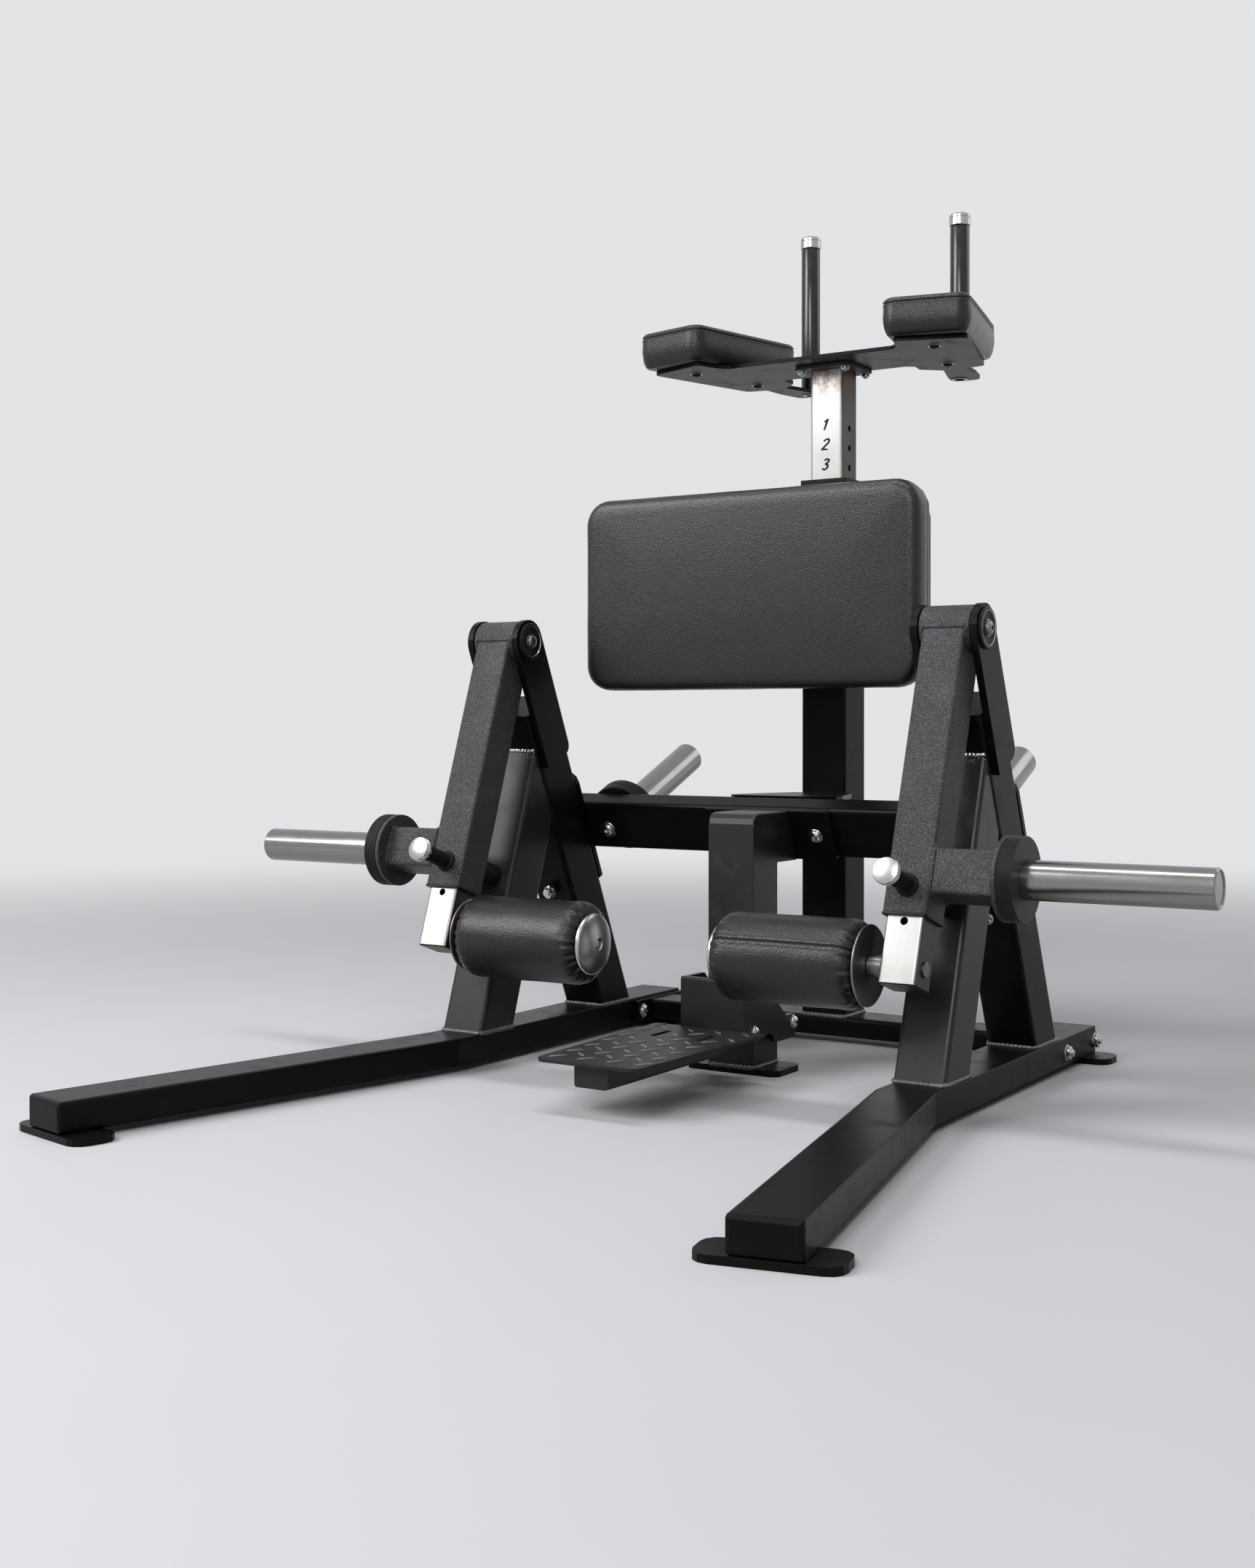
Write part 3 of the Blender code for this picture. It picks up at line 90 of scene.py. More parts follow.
# %% The socket class and the finish class
class Wire:
    """An output socket on which sums can be written."""

    def __init__(self, finish, socket):
        self.finish = finish
        self.socket = socket

    def sum(self, operation, *values):
        return self.finish.node("ShaderNodeMath", {"operation": operation}, dict(enumerate(values)))

    def __add__(self, other):
        return self.sum("ADD", self, other)

    def __sub__(self, other):
        return self.sum("SUBTRACT", self, other)

    def __rsub__(self, other):
        return self.sum("SUBTRACT", other, self)

    def __mul__(self, other):
        return self.sum("MULTIPLY", self, other)

    __radd__ = __add__
    __rmul__ = __mul__


class Finish:
    """A material whose nodes are made by one method."""

    def __init__(self, name, **constants):
        self.material = bpy.data.materials.new(name)
        self.material.use_nodes = True
        self.tree = self.material.node_tree
        self.shader = self.tree.nodes["Principled BSDF"]
        self.paint(**constants)

    def feed(self, socket, value):
        if isinstance(value, Wire):
            self.tree.links.new(value.socket, socket)
        else:
            socket.default_value = value

    def node(self, kind, settings=None, inputs=None, output=0):
        made = self.tree.nodes.new(kind)
        for key, value in (settings or {}).items():
            setattr(made, key, value)
        for key, value in (inputs or {}).items():
            self.feed(made.inputs[key], value)
        return Wire(self, made.outputs[output])

    def paint(self, **values):
        for key, value in values.items():
            self.feed(self.shader.inputs[key.replace("_", " ")], value)

    def painted(self, name):
        """What already feeds an input of the shader, so that more can be added to it."""
        return Wire(self, self.shader.inputs[name].links[0].from_socket)

    def place(self, stretch=(1, 1, 1), lean=0.0):
        """Coordinates on the piece in metres, leaned about X and then stretched."""
        here = self.node("ShaderNodeTexCoord", output="Object")
        if lean:
            here = self.node("ShaderNodeVectorRotate", {"rotation_type": "X_AXIS"},
                             {"Vector": here, "Angle": -lean})
        return self.node("ShaderNodeVectorMath", {"operation": "MULTIPLY"}, {0: here, 1: stretch})

    def cloud(self, size, where=None, detail=3.0, rough=0.55):
        """Soft noise whose lumps are about size metres across."""
        return self.node("ShaderNodeTexNoise", None,
                         {"Vector": where or self.place(), "Scale": 1 / size, "Detail": detail,
                          "Roughness": rough})

    def cells(self, size, where=None, feature="F1", smooth=None):
        inputs = {"Vector": where or self.place(), "Scale": 1 / size}
        if smooth is not None:
            inputs["Smoothness"] = smooth
        return self.node("ShaderNodeTexVoronoi", {"feature": feature}, inputs)

    def span(self, value, low, high, to_low=0.0, to_high=1.0):
        return self.node("ShaderNodeMapRange", {"interpolation_type": "SMOOTHSTEP"},
                         {0: value, 1: low, 2: high, 3: to_low, 4: to_high})

    def mix(self, mask, first, second):
        return self.node("ShaderNodeMix", {"data_type": "RGBA"}, {0: mask, 6: first, 7: second}, 2)

    def raise_grain(self, height, strength, distance, edge=0.0):
        """Bump from a height; edge is the radius that rounds the light on a cut edge."""
        inputs = {"Height": height, "Strength": strength, "Distance": distance}
        if edge:
            inputs["Normal"] = self.node("ShaderNodeBevel", {"samples": 4}, {"Radius": edge})
        self.paint(Normal=self.node("ShaderNodeBump", None, inputs))


def shade(level, warm=1.0, cool=1.0):
    return (level * warm, level, level * cool, 1)


print("helpers ready, a grey is", shade(0.5))

# %% [markdown]
# ## The studio
#
# Black steel shows its form only through what it reflects, so the light comes from large soft
# panels: a wide one high on the front left, a smaller one on the front right, a long narrow strip
# overhead that draws a line along every round bar, and a weak one behind on the right. The floor
# is pale and plain, and it fades into the same pale backdrop. Light Path lets the camera, glossy
# metal and clear plastic see that backdrop without lighting anything harder. For the rays that
# carry light the floor is darker, so that it doesn't fill the shadows under the steel.

# %% Floor, backdrop and lights
BACKDROP = (0.83, 0.84, 0.86, 1)
world = bpy.data.worlds.new("studio")
bpy.context.scene.world = world
world.use_nodes = True
bpy.context.scene.view_settings.view_transform = "Standard"


class Sky(Finish):
    """The same node method, on the world."""

    def __init__(self, target):
        self.tree = target.node_tree
        self.shader = self.tree.nodes["Background"]


def seen_rays(finish):
    """1 for rays that look at the backdrop, and 0 for rays that carry light to the object."""
    path = finish.node("ShaderNodeLightPath", output="Is Camera Ray")
    glossy = finish.node("ShaderNodeLightPath", output="Is Glossy Ray")
    clear = finish.node("ShaderNodeLightPath", output="Is Transmission Ray")
    return path.sum("MAXIMUM", path, glossy.sum("MAXIMUM", glossy, clear))


sky = Sky(world)
seen = seen_rays(sky)
sky.paint(Color=sky.mix(seen, (0.80, 0.82, 0.86, 1), BACKDROP), Strength=seen * 0.80 + 0.12)

floor_work = bmesh.new()
bmesh.ops.create_circle(floor_work, cap_ends=True, segments=96, radius=14)
floor_mesh = bpy.data.meshes.new("floor")
floor_work.to_mesh(floor_mesh)
floor_work.free()
floor = bpy.data.objects.new("floor", floor_mesh)
bpy.context.scene.collection.objects.link(floor)
ground = Finish("studio_floor", Roughness=0.62)
pale = ground.mix(ground.cloud(0.9), (0.60, 0.61, 0.63, 1), (0.66, 0.67, 0.69, 1))
ground.paint(Base_Color=ground.mix(seen_rays(ground), (0.20, 0.20, 0.21, 1), pale))
glow = ground.node("ShaderNodeEmission", None, {"Color": BACKDROP, "Strength": 0.92})
far = ground.node("ShaderNodeVectorMath", {"operation": "LENGTH"}, {0: ground.place()}, "Value")
fade = ground.span(far, 1.3, 4.6) * seen_rays(ground)
blend = ground.node("ShaderNodeMixShader", None,
                    {0: fade, 1: Wire(ground, ground.shader.outputs[0]), 2: glow})
ground.feed(ground.tree.nodes["Material Output"].inputs["Surface"], blend)
floor.data.materials.append(ground.material)


def soft_panel(name, place, aim, size, power):
    data = bpy.data.lights.new(name, "AREA")
    data.shape = "RECTANGLE"
    data.size, data.size_y = size
    data.energy = power
    lamp = bpy.data.objects.new(name, data)
    bpy.context.scene.collection.objects.link(lamp)
    lamp.location = place
    lamp.rotation_euler = (Vector(aim) - Vector(place)).to_track_quat("-Z", "Y").to_euler()


soft_panel("key", (-2.4, -2.9, 2.9), (0, 0, 0.6), (2.2, 2.2), 140)
soft_panel("overhead", (0.0, -0.7, 3.6), (0, 0, 0.4), (2.6, 0.6), 40)
soft_panel("rim", (2.2, 3.0, 2.6), (0, 0, 0.6), (1.4, 2.0), 13)
soft_panel("front", (1.0, -3.6, 2.4), (0, 0, 0.5), (1.4, 1.4), 54)

# %% [markdown]
# ## Powder coat
#
# Two blacks are on this machine. The base, the rear legs and the beam have a smooth satin coat
# with a faint orange peel, and the front legs, the centre post and the foot bracket have the same
# coat painted a little lighter, a painted light. The swing arms and the tread have a wrinkle coat,
# a coarse grain about two millimetres wide that sparkles under a lamp. Its colour is painted
# lighter on the tops of the grain, a painted sparkle, and darker in the hollows, painted shade.
# Both are noise in the bump, with the same noise in the roughness, because the tops of the grain
# are polished by hands and cloths.

# %% Satin and wrinkle black
ARM_LEAN = math.radians(19.0)


def satin_coat(name, level=0.0038, rough=0.34, gloss=0.09):
    f = Finish(name, Specular_IOR_Level=gloss)
    peel = f.cloud(0.0011, detail=2.0)
    dust = f.span(f.cloud(0.045, detail=6.0, rough=0.65), 0.50, 0.82)
    specks = f.span(f.cells(0.004), 0.06, 0.02)
    f.paint(Base_Color=f.mix(dust * 0.5 + specks * 0.12, shade(level, 0.97, 1.06),
                             shade(level * 3.4, 1.02, 1.0)),
            Roughness=peel * 0.10 + dust * 0.16 + (rough - 0.05))
    f.raise_grain(peel, 0.10, 0.0004, 0.0012)
    return f.material


def wrinkle_coat(name, level=0.036, rough=0.42, grip=0.75):
    f = Finish(name, Specular_IOR_Level=0.26)
    where = f.place()
    grain = f.cells(0.0022, where, "SMOOTH_F1", 0.5)
    fine = f.cloud(0.0009, where, 4.0, 0.7)
    height = grain * 0.7 + fine * 0.6
    dust = f.span(f.cloud(0.06, where, 6.0, 0.6), 0.48, 0.80)
    # The colour follows the grain's height: painted lighter on its tops, a painted sparkle, and
    # darker in its hollows, painted shade; dust lightens it too.
    f.paint(Base_Color=f.mix(f.span(height, 0.40, 0.90) * 0.75 + dust * 0.3,
                             shade(level * 0.30, 0.95, 1.10), shade(level * 3.0, 0.97, 1.08)),
            Roughness=f.span(fine, 0.30, 0.72, rough - 0.12, rough + 0.16))
    f.raise_grain(height, grip, 0.0012, 0.0016)
    return f.material


SATIN = satin_coat("satin_black")
WRINKLE = wrinkle_coat("wrinkle_black")
# The satin coat painted lighter for the front legs, centre post and foot bracket: a painted light
# for the light they catch.
LEG_COAT_PAINTED_LIGHT = satin_coat("front_leg_coat_painted_light", 0.019, 0.32, 0.26)
TREAD_BLACK = wrinkle_coat("tread_black", 0.012, 0.46, 0.30)
print("coats:", SATIN.name, WRINKLE.name, LEG_COAT_PAINTED_LIGHT.name, TREAD_BLACK.name)

# %% [markdown]
# ## Bare metal
#
# The inserts and the sliding post are brushed: the belt leaves long scratches in one direction, so
# the noise is stretched forty-six times along it. The weight horns are ground as they turn, so
# their scratches run round. The faces left and right of the square tubes are painted dark and made
# rougher, a painted shade on those sides. Screws and the roller's cap are polished, with only a few
# hairlines. The pull-pin heads and grip caps are turned on a lathe, which leaves a fine even
# scratch and a few bruises.

# %% Brushed, polished and turned metal
STRETCH = 46.0


def brushed(name, along, level=0.60, rough=0.27, lean=0.0, warm=1.0, stain=0.25, ground=False):
    f = Finish(name, Metallic=1.0)
    where = f.place([STRETCH if (axis == along) == ground else 1.0 for axis in "xyz"], lean)
    streak = f.cloud(0.055, where, 5.0, 0.72)
    fine = f.cloud(0.016, where, 2.0, 0.5)
    blotch = f.span(f.cloud(0.05, None, 4.0, 0.6), 0.42, 0.78)
    f.paint(Base_Color=f.mix(streak * 0.6 + blotch * stain, shade(level * 1.12, 1.01 * warm, 0.985),
                             shade(level * 0.62, 1.02 * warm, 0.94)),
            Roughness=streak * 0.16 + blotch * 0.07 + (rough - 0.08))
    f.raise_grain(streak * 0.6 + fine * 0.4, 0.10, 0.0004, 0.0009)
    return f


def polished(name, level=0.55, rough=0.17, smears=0.35, scratch=0.03):
    f = Finish(name, Metallic=1.0)
    hair = f.cloud(0.004, f.place((1, 6, 30)), 4.0, 0.7)
    smear = f.span(f.cloud(0.02, None, 3.0), 0.45, 0.75)
    f.paint(Base_Color=f.mix(smear * smears, shade(level * 1.05), shade(level * 0.72, 1.02, 0.95)),
            Roughness=hair * 0.06 + smear * (smears * 0.22) + (rough - 0.03))
    f.raise_grain(hair, scratch, 0.0002)
    return f.material


def painted_side_shade(finish, amount=0.9):
    """The faces left and right of a square tube are painted dark and made rougher: painted shade on
    those sides.
    """
    facing = finish.node("ShaderNodeNewGeometry", output="True Normal")
    across = finish.node("ShaderNodeSeparateXYZ", None, {0: facing}, "X")
    side = finish.span(across * across, 0.6, 0.9)
    finish.paint(Base_Color=finish.mix(side * amount, finish.painted("Base Color"),
                                       (0.036, 0.032, 0.029, 1)),
                 Roughness=finish.painted("Roughness") + side * 0.12)


def turned_metal(name, level=0.70, rough=0.24):
    f = Finish(name, Metallic=1.0)
    scratch = f.cloud(0.0006, None, 3.0, 0.7)
    bruise = f.span(f.cloud(0.008, None, 4.0, 0.65), 0.5, 0.8)
    f.paint(Base_Color=f.mix(bruise * 0.4, shade(level), shade(level * 0.70, 1.0, 0.97)),
            Roughness=scratch * 0.10 + bruise * 0.12 + (rough - 0.05))
    f.raise_grain(scratch, 0.05, 0.0002)
    return f.material


HORN_STEEL = brushed("horn_steel", "x", 0.26, 0.19, stain=0.12, ground=True).material
insert_steel = brushed("insert_steel", "z", 0.30, 0.30, -ARM_LEAN, stain=0.2)
# The insert's side faces get painted shade.
painted_side_shade(insert_steel)
INSERT_STEEL = insert_steel.material
POLISHED = polished("polished_steel")
CAP_STEEL = polished("roller_cap_steel", 0.46, 0.27, 0.06, 0.004)
DISC_STEEL = brushed("roller_disc_steel", "z", 0.24, 0.34, warm=1.12, stain=0.5).material
SCREW_STEEL = polished("screw_steel", 0.50, 0.20)
PIVOT_STEEL = polished("pivot_steel", 0.20, 0.26)
SPINDLE_STEEL = turned_metal("spindle_steel", 0.15, 0.34)
ALUMINIUM = turned_metal("turned_aluminium", 0.42, 0.27)
BRASS = turned_metal("brass_rim", 0.42, 0.26)
BRASS.node_tree.nodes["Principled BSDF"].inputs["Specular Tint"].default_value = (1, 0.86, 0.6, 1)
print("metals:", HORN_STEEL.name, INSERT_STEEL.name, POLISHED.name, ALUMINIUM.name)

# %% [markdown]
# The sliding post is the same brushed steel, with two marks of its making: a brown heat tint just
# under its welded flange, and the flange itself painted black. Height above the floor is enough to
# tell them apart.

# %% The sliding post
FLANGE_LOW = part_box("telescoping_post")[1].z - 0.005
post = brushed("post_steel", "z", 0.38, 0.30, stain=0.30)
# The post's side faces get painted shade.
painted_side_shade(post)
height = post.node("ShaderNodeSeparateXYZ", None, {0: post.place()}, "Z")
patchy = post.span(post.cloud(0.022, None, 5.0, 0.65), 0.38, 0.66)
tint = post.span(height, FLANGE_LOW - 0.058, FLANGE_LOW - 0.004) * patchy
black = post.span(height, FLANGE_LOW - 0.0008, FLANGE_LOW - 0.0004)
tinted = post.mix(tint, post.painted("Base Color"), (0.17, 0.095, 0.05, 1))
post.paint(Base_Color=post.mix(black, tinted, shade(0.035)),
           Roughness=post.painted("Roughness") + tint * 0.15 + black * 0.18,
           Metallic=1 - black * 0.9)
POST_STEEL = post.material
print("flange starts at", round(FLANGE_LOW, 4))

# %% [markdown]
# ## Rubber, plastic and leatherette
#
# Rubber scatters light and picks up dust; moulded plastic is smoother. The pads are covered in
# leatherette: a pebble grain about two millimetres across, pressed into vinyl, with pores between
# the pebbles and a little wear. Its colour is painted lighter where the grain stands high, a
# painted sheen, and darker in its hollows, painted shade. The foam grips are a smooth closed skin
# that shines.

# %% Soft and moulded finishes
def rubber(name, level=0.006, rough=0.50, gloss=0.20):
    f = Finish(name, Specular_IOR_Level=gloss)
    dust = f.span(f.cloud(0.03, None, 6.0, 0.65), 0.46, 0.78)
    fine = f.cloud(0.0012, None, 3.0)
    f.paint(Base_Color=f.mix(dust * 0.55, shade(level), shade(level * 3.4, 1.03, 0.98)),
            Roughness=fine * 0.12 + dust * 0.15 + (rough - 0.08))
    f.raise_grain(fine, 0.14, 0.0004, 0.0009)
    return f.material


def leatherette(name, level=0.006, rough=0.28, grain=0.0019):
    f = Finish(name, Specular_IOR_Level=0.40)
    where = f.place()
    warp = f.cloud(0.004, where, 2.0)
    pebble = f.cells(grain, where, "SMOOTH_F1", 0.35)
    pores = f.cloud(grain * 0.5, where, 3.0, 0.6)
    wear = f.span(f.cloud(0.05, where, 5.0, 0.6), 0.50, 0.80)
    # The colour follows the pebbles' height: painted lighter where the grain stands high, a painted
    # sheen, and darker in the hollows, painted shade; wear lightens it too.
    f.paint(Base_Color=f.mix(wear * 0.15 + f.span(pebble, 0.2, 0.6) * 0.45,
                             shade(level, 0.94, 1.14), shade(level * 3.2, 0.96, 1.12)),
            Roughness=pores * 0.14 + wear * 0.04 + (rough - 0.07))
    f.raise_grain(pebble * 0.9 + pores * 0.35 + warp * 0.2, 0.46, 0.0008)
    return f.material


RUBBER = rubber("black_rubber")
PLASTIC = rubber("moulded_plastic", 0.008, 0.38)
FOAM = rubber("grip_foam", 0.005, 0.20, 0.50)
LEATHER = leatherette("leatherette")
DARK_STEEL = satin_coat("blackened_steel", 0.014, 0.38)
print("soft finishes:", RUBBER.name, PLASTIC.name, FOAM.name, LEATHER.name)

# %% [markdown]
# ## Dressing the loaded steel
#
# The tubes, plates and sleeves keep their solids and only change their finish. Each node is
# matched by the start of its name, so left and right get the same coat, and what isn't named gets
# the satin black.

# %% Finishes for the loaded pieces
# The front legs, centre post and foot bracket take the leg coat, which is painted lighter as
# painted light.
COATS = {
    "swing_arm": WRINKLE, "tread_plate": TREAD_BLACK, "front_leg": LEG_COAT_PAINTED_LIGHT,
    "centre_post": LEG_COAT_PAINTED_LIGHT, "foot_bracket": LEG_COAT_PAINTED_LIGHT, "height_insert": INSERT_STEEL,
    "telescoping_post": POST_STEEL, "weight_horn": HORN_STEEL, "storage_horn": HORN_STEEL,
    "roller_core": POLISHED, "roller_spindle": SPINDLE_STEEL, "pivot_axle": SCREW_STEEL,
    "pin_housing": PLASTIC, "mast_pin_housing": PLASTIC, "pad_board": PLASTIC,
    "pin_plunger": ALUMINIUM, "mast_pin_plunger": ALUMINIUM, "mast_collar": DARK_STEEL,
    "thigh_pad": LEATHER, "elbow_pad": LEATHER, "roller_pad": LEATHER, "handle": FOAM,
    "horn_flange": RUBBER, "arm_stop": RUBBER,
}
for name, node in parts.items():
    found = [start for start in COATS if name.startswith(start)]
    node.data.materials.clear()
    node.data.materials.append(COATS[max(found, key=len)] if found else SATIN)
print("dressed:", len(parts))

# %% [markdown]
# ## Finishes that only small pieces wear
#
# The grooved ring of each flange is a harder, glossier rubber, painted a little lighter as a
# painted glint on its ridges, and the pads are sewn with dark thread, painted lighter than the
# cover as a painted highlight along the stitches. The tread's lugs and the frame's welds under the
# coat are glossier than the tubes and painted lighter, a painted highlight. One weld is left
# bright, and the numbers are black paint.

# %% Small finishes
# Glossier rubber, painted a little lighter: a painted glint on the flange's ridges.
FLANGE_RUBBER_PAINTED_GLINT = rubber("flange_rubber_painted_glint", 0.011, 0.48, 0.28)
# Dark thread, painted lighter than the leatherette: a painted highlight along the stitches.
THREAD_PAINTED_HIGHLIGHT = rubber("black_thread_painted_highlight", 0.045, 0.45, 0.40)
# The tread's lugs: a glossier coat painted lighter, a painted highlight along their tops.
LUG_COAT_PAINTED_HIGHLIGHT = satin_coat("tread_lug_coat_painted_highlight", 0.11, 0.24, 0.80)
# The frame's welds: a glossier coat painted lighter, a painted highlight along the beads.
WELD_COAT_PAINTED_HIGHLIGHT = satin_coat("weld_coat_painted_highlight", 0.11, 0.28, 0.60)
WELD_STEEL = turned_metal("weld_steel", 0.62, 0.22)
INK = rubber("number_paint", 0.012, 0.50)
print("small finishes:", FLANGE_RUBBER_PAINTED_GLINT.name, THREAD_PAINTED_HIGHLIGHT.name, WELD_STEEL.name, INK.name)

# %% [markdown]
# ## A small workshop in code
#
# Screws, caps, sleeves and pull pins are all turned on a lathe, plates are cut to an outline, and
# weld beads and stitches run along a path. One class offers those three ways and gathers the
# shapes of a piece, each with its own finish, into one object. Places on the machine are in
# metres. The shapes themselves are small, so they are written in millimetres, as on a drawing, and
# laid where they stand on the machine, so the object itself stays at the origin like the loaded
# pieces do.

# %% Frames of the leaning members
MM = 0.001
SIDES = (("L", "left", -1), ("R", "right", 1))
LEG_X = 0.3655
LEG_W, LEG_D = 72.0, 80.0
HALF_LEG = LEG_D / 2 * MM
PIVOT = (-0.0925, 0.632)
REAR_LEAN = math.radians(24.0)
FRONT_LEAN = math.radians(18.6)
RAIL_TOP = 0.0493
FRONT_FOOT_Y = -0.1603
MAST_Y = 0.298


def move(x=0.0, y=0.0, z=0.0):
    return Matrix.Translation((x, y, z))


def up(place, height):
    """The same place, so many millimetres further out."""
    return place @ move(z=height * MM)


def toward_x(side):
    return Matrix.Rotation(side * math.pi / 2, 4, "Y")


def arm_frame(x):
    return move(x, *PIVOT) @ Matrix.Rotation(-ARM_LEAN, 4, "X")


def rear_frame(x):
    return move(x, *PIVOT) @ Matrix.Rotation(REAR_LEAN, 4, "X")


def front_frame(x):
    return move(x, FRONT_FOOT_Y, RAIL_TOP) @ Matrix.Rotation(-FRONT_LEAN, 4, "X")


FORWARD = Matrix.Rotation(math.pi / 2, 4, "X")
BACK = Matrix.Rotation(-math.pi / 2, 4, "X")
FLIP = Matrix.Rotation(math.pi, 4, "X")
print("arm foot:", [round(v, 3) for v in arm_frame(LEG_X) @ Vector((0, 0, -0.391))])


# %% Outlines and paths
def polar(radius, angle, height=0.0):
    return Vector((radius * math.cos(angle), radius * math.sin(angle), height))


def circle(count, start=0.0):
    """Even angles all the way round."""
    return [start + 2 * math.pi * k / count for k in range(count)]


def laid(place, outline, height=0.0):
    """An outline in millimetres, laid on the machine at a height over place."""
    return [place @ (Vector((p[0], p[1], height)) * MM) for p in outline]


def rounded(width, height, radius, steps=4):
    """A rectangle with round corners, as a closed list of points."""
    points = []
    for k, (sx, sy) in enumerate(((1, 1), (-1, 1), (-1, -1), (1, -1))):
        middle = Vector((sx * (width / 2 - radius), sy * (height / 2 - radius), 0))
        points += [middle + polar(radius, math.pi / 2 * (k + i / steps)) for i in range(steps + 1)]
    return points


def drawn_in(outline, distance):
    """The same outline moved inward, for an eased edge."""
    out = []
    for i, point in enumerate(outline):
        along = (outline[(i + 1) % len(outline)] - outline[i - 1]).normalized()
        out.append(point + Vector((-along.y, along.x, 0)) * distance)
    return out


def grooves(rim, floor, top, pitch, count, mouth=0.6, bottom=0.2):
    """Grooves turned in a rim, from the top one down; mouth and bottom are half their widths."""
    cut = ((rim, mouth), (floor, bottom), (floor, -bottom), (rim, -mouth))
    return [(radius, top - pitch * k + rise) for k in range(count) for radius, rise in cut]


def walk(path, step, loop=False):
    """Even steps along a path of straight runs."""
    points = [Vector(p) for p in path]
    if loop:
        points.append(points[0])
    lengths = [(b - a).length for a, b in zip(points, points[1:])]
    count = max(int(sum(lengths) / step), 3)
    out = []
    for k in range(count if loop else count + 1):
        left = sum(lengths) * k / count
        run = 0
        while run < len(lengths) - 1 and left > lengths[run]:
            left -= lengths[run]
            run += 1
        out.append(points[run].lerp(points[run + 1], min(left / max(lengths[run], 1e-9), 1)))
    return out


def hexagon(apothem):
    """The radius of a six-sided head at each angle."""
    return lambda angle: apothem / math.cos(angle % (math.pi / 3) - math.pi / 6)


print("points round a square tube:", len(rounded(60, 60, 6)))


# %% The piece class
class Piece:
    """Shapes with their finishes, gathered into one object that rides on a body."""

    def __init__(self, name, body, slot):
        self.name = name
        self.body = body
        self.slot = slot
        self.work = bmesh.new()
        self.finishes = []

    def skin(self, rings, finish, closed=False, caps=False):
        """Covers row after row of points. A row of one point is a tip."""
        if finish not in self.finishes:
            self.finishes.append(finish)
        rows = [[self.work.verts.new(point) for point in ring] for ring in rings]
        pairs = list(zip(rows, rows[1:])) + ([(rows[-1], rows[0])] if closed else [])
        faces = []
        for low, high in pairs:
            count = max(len(low), len(high))
            for i in range(count):
                j = (i + 1) % count
                corners = (low[i % len(low)], low[j % len(low)], high[j % len(high)],
                           high[i % len(high)])
                faces.append(self.work.faces.new(list(dict.fromkeys(corners))))
        if caps:
            faces += [self.work.faces.new(rows[0]), self.work.faces.new(rows[-1])]
        for face in faces:
            face.material_index = self.finishes.index(finish)

    def turn(self, profile, place, finish, segments=48):
        """A lathe round the Z of place, for (radius, height) points. A radius may be a rule."""
        rings = []
        for radius, height in profile:
            if radius == 0:
                ring = [Vector((0, 0))]
            else:
                ring = [polar(radius(a) if callable(radius) else radius, a)
                        for a in circle(segments)]
            rings.append(laid(place, ring, height))
        self.skin(rings, finish, closed=len(rings[0]) > 1 and len(rings[-1]) > 1)

    def plate(self, outline, low, high, place, finish, edge=0.6, hole=None):
        """A flat piece cut to an outline, its edges eased. A hole has as many points."""
        levels = [(outline, low, edge), (outline, low + edge, 0), (outline, high - edge, 0),
                  (outline, high, edge)]
        if hole:
            levels += [(hole, high, 0), (hole, low, 0)]
        self.skin([laid(place, drawn_in(line, inward), height) for line, height, inward in levels],
                  finish, closed=bool(hole), caps=not hole)

    def sweep(self, path, radius, finish, sides=8, loop=False, place=Matrix.Identity(4)):
        """A round bar along a path; its radius may be a list, one for each point."""
        points = [Vector(p) for p in path]
        across = None
        rings = []
        for i, point in enumerate(points):
            before = points[i - 1] if i or loop else point
            after = points[(i + 1) % len(points)] if i + 1 < len(points) or loop else point
            along = (after - before).normalized()
            if across is None:
                pick = Vector((0, 0, 1)) if abs(along.z) < 0.9 else Vector((1, 0, 0))
                across = along.cross(pick)
            across = (across - along * across.dot(along)).normalized()
            other = along.cross(across)
            r = (radius[i] if isinstance(radius, list) else radius) * MM
            rings.append([place @ (point + (across * math.cos(a) + other * math.sin(a)) * r)
                          for a in circle(sides)])
        self.skin(rings, finish, closed=loop, caps=not loop)

    def bead(self, path, size, finish, seed, loop=False):
        """A weld: short steps along a path, swelling in ripples as each drop of steel sets."""
        draw = random.Random(seed)
        steps = walk(path, size * 0.42 * MM, loop)
        sizes = [size * (0.80 + 0.10 * (i % 4) + draw.uniform(-0.05, 0.05))
                 for i in range(len(steps))]
        wobble = [Vector([draw.uniform(-0.06, 0.06) * size * MM for _ in range(3)])
                  for _ in steps]
        self.sweep([p + w for p, w in zip(steps, wobble)], sizes, finish, 8, loop)

    def done(self, sharp=35):
        """Makes the object. Edges sharper than so many degrees stay sharp."""
        bmesh.ops.recalc_face_normals(self.work, faces=self.work.faces)
        mesh = bpy.data.meshes.new(self.name)
        self.work.to_mesh(mesh)
        self.work.free()
        mesh.shade_smooth()
        mesh.set_sharp_from_angle(angle=math.radians(sharp))
        for finish in self.finishes:
            mesh.materials.append(finish)
        obj = bpy.data.objects.new(self.name, mesh)
        bpy.context.scene.collection.objects.link(obj)
        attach(obj, self.body)
        return obj


print("workshop open")

# %% [markdown]
# ## Screws and nuts
#
# The machine is held by two kinds of screw: button heads with a hexagonal socket, and plain hexagon
# bolts with nuts. A lathe profile makes both, because its radius may change with the angle: a round
# rule for the head and a six-sided one for the socket or the nut.

# %% Button screws, hexagon heads and washers
THREAD_PITCH = 0.8


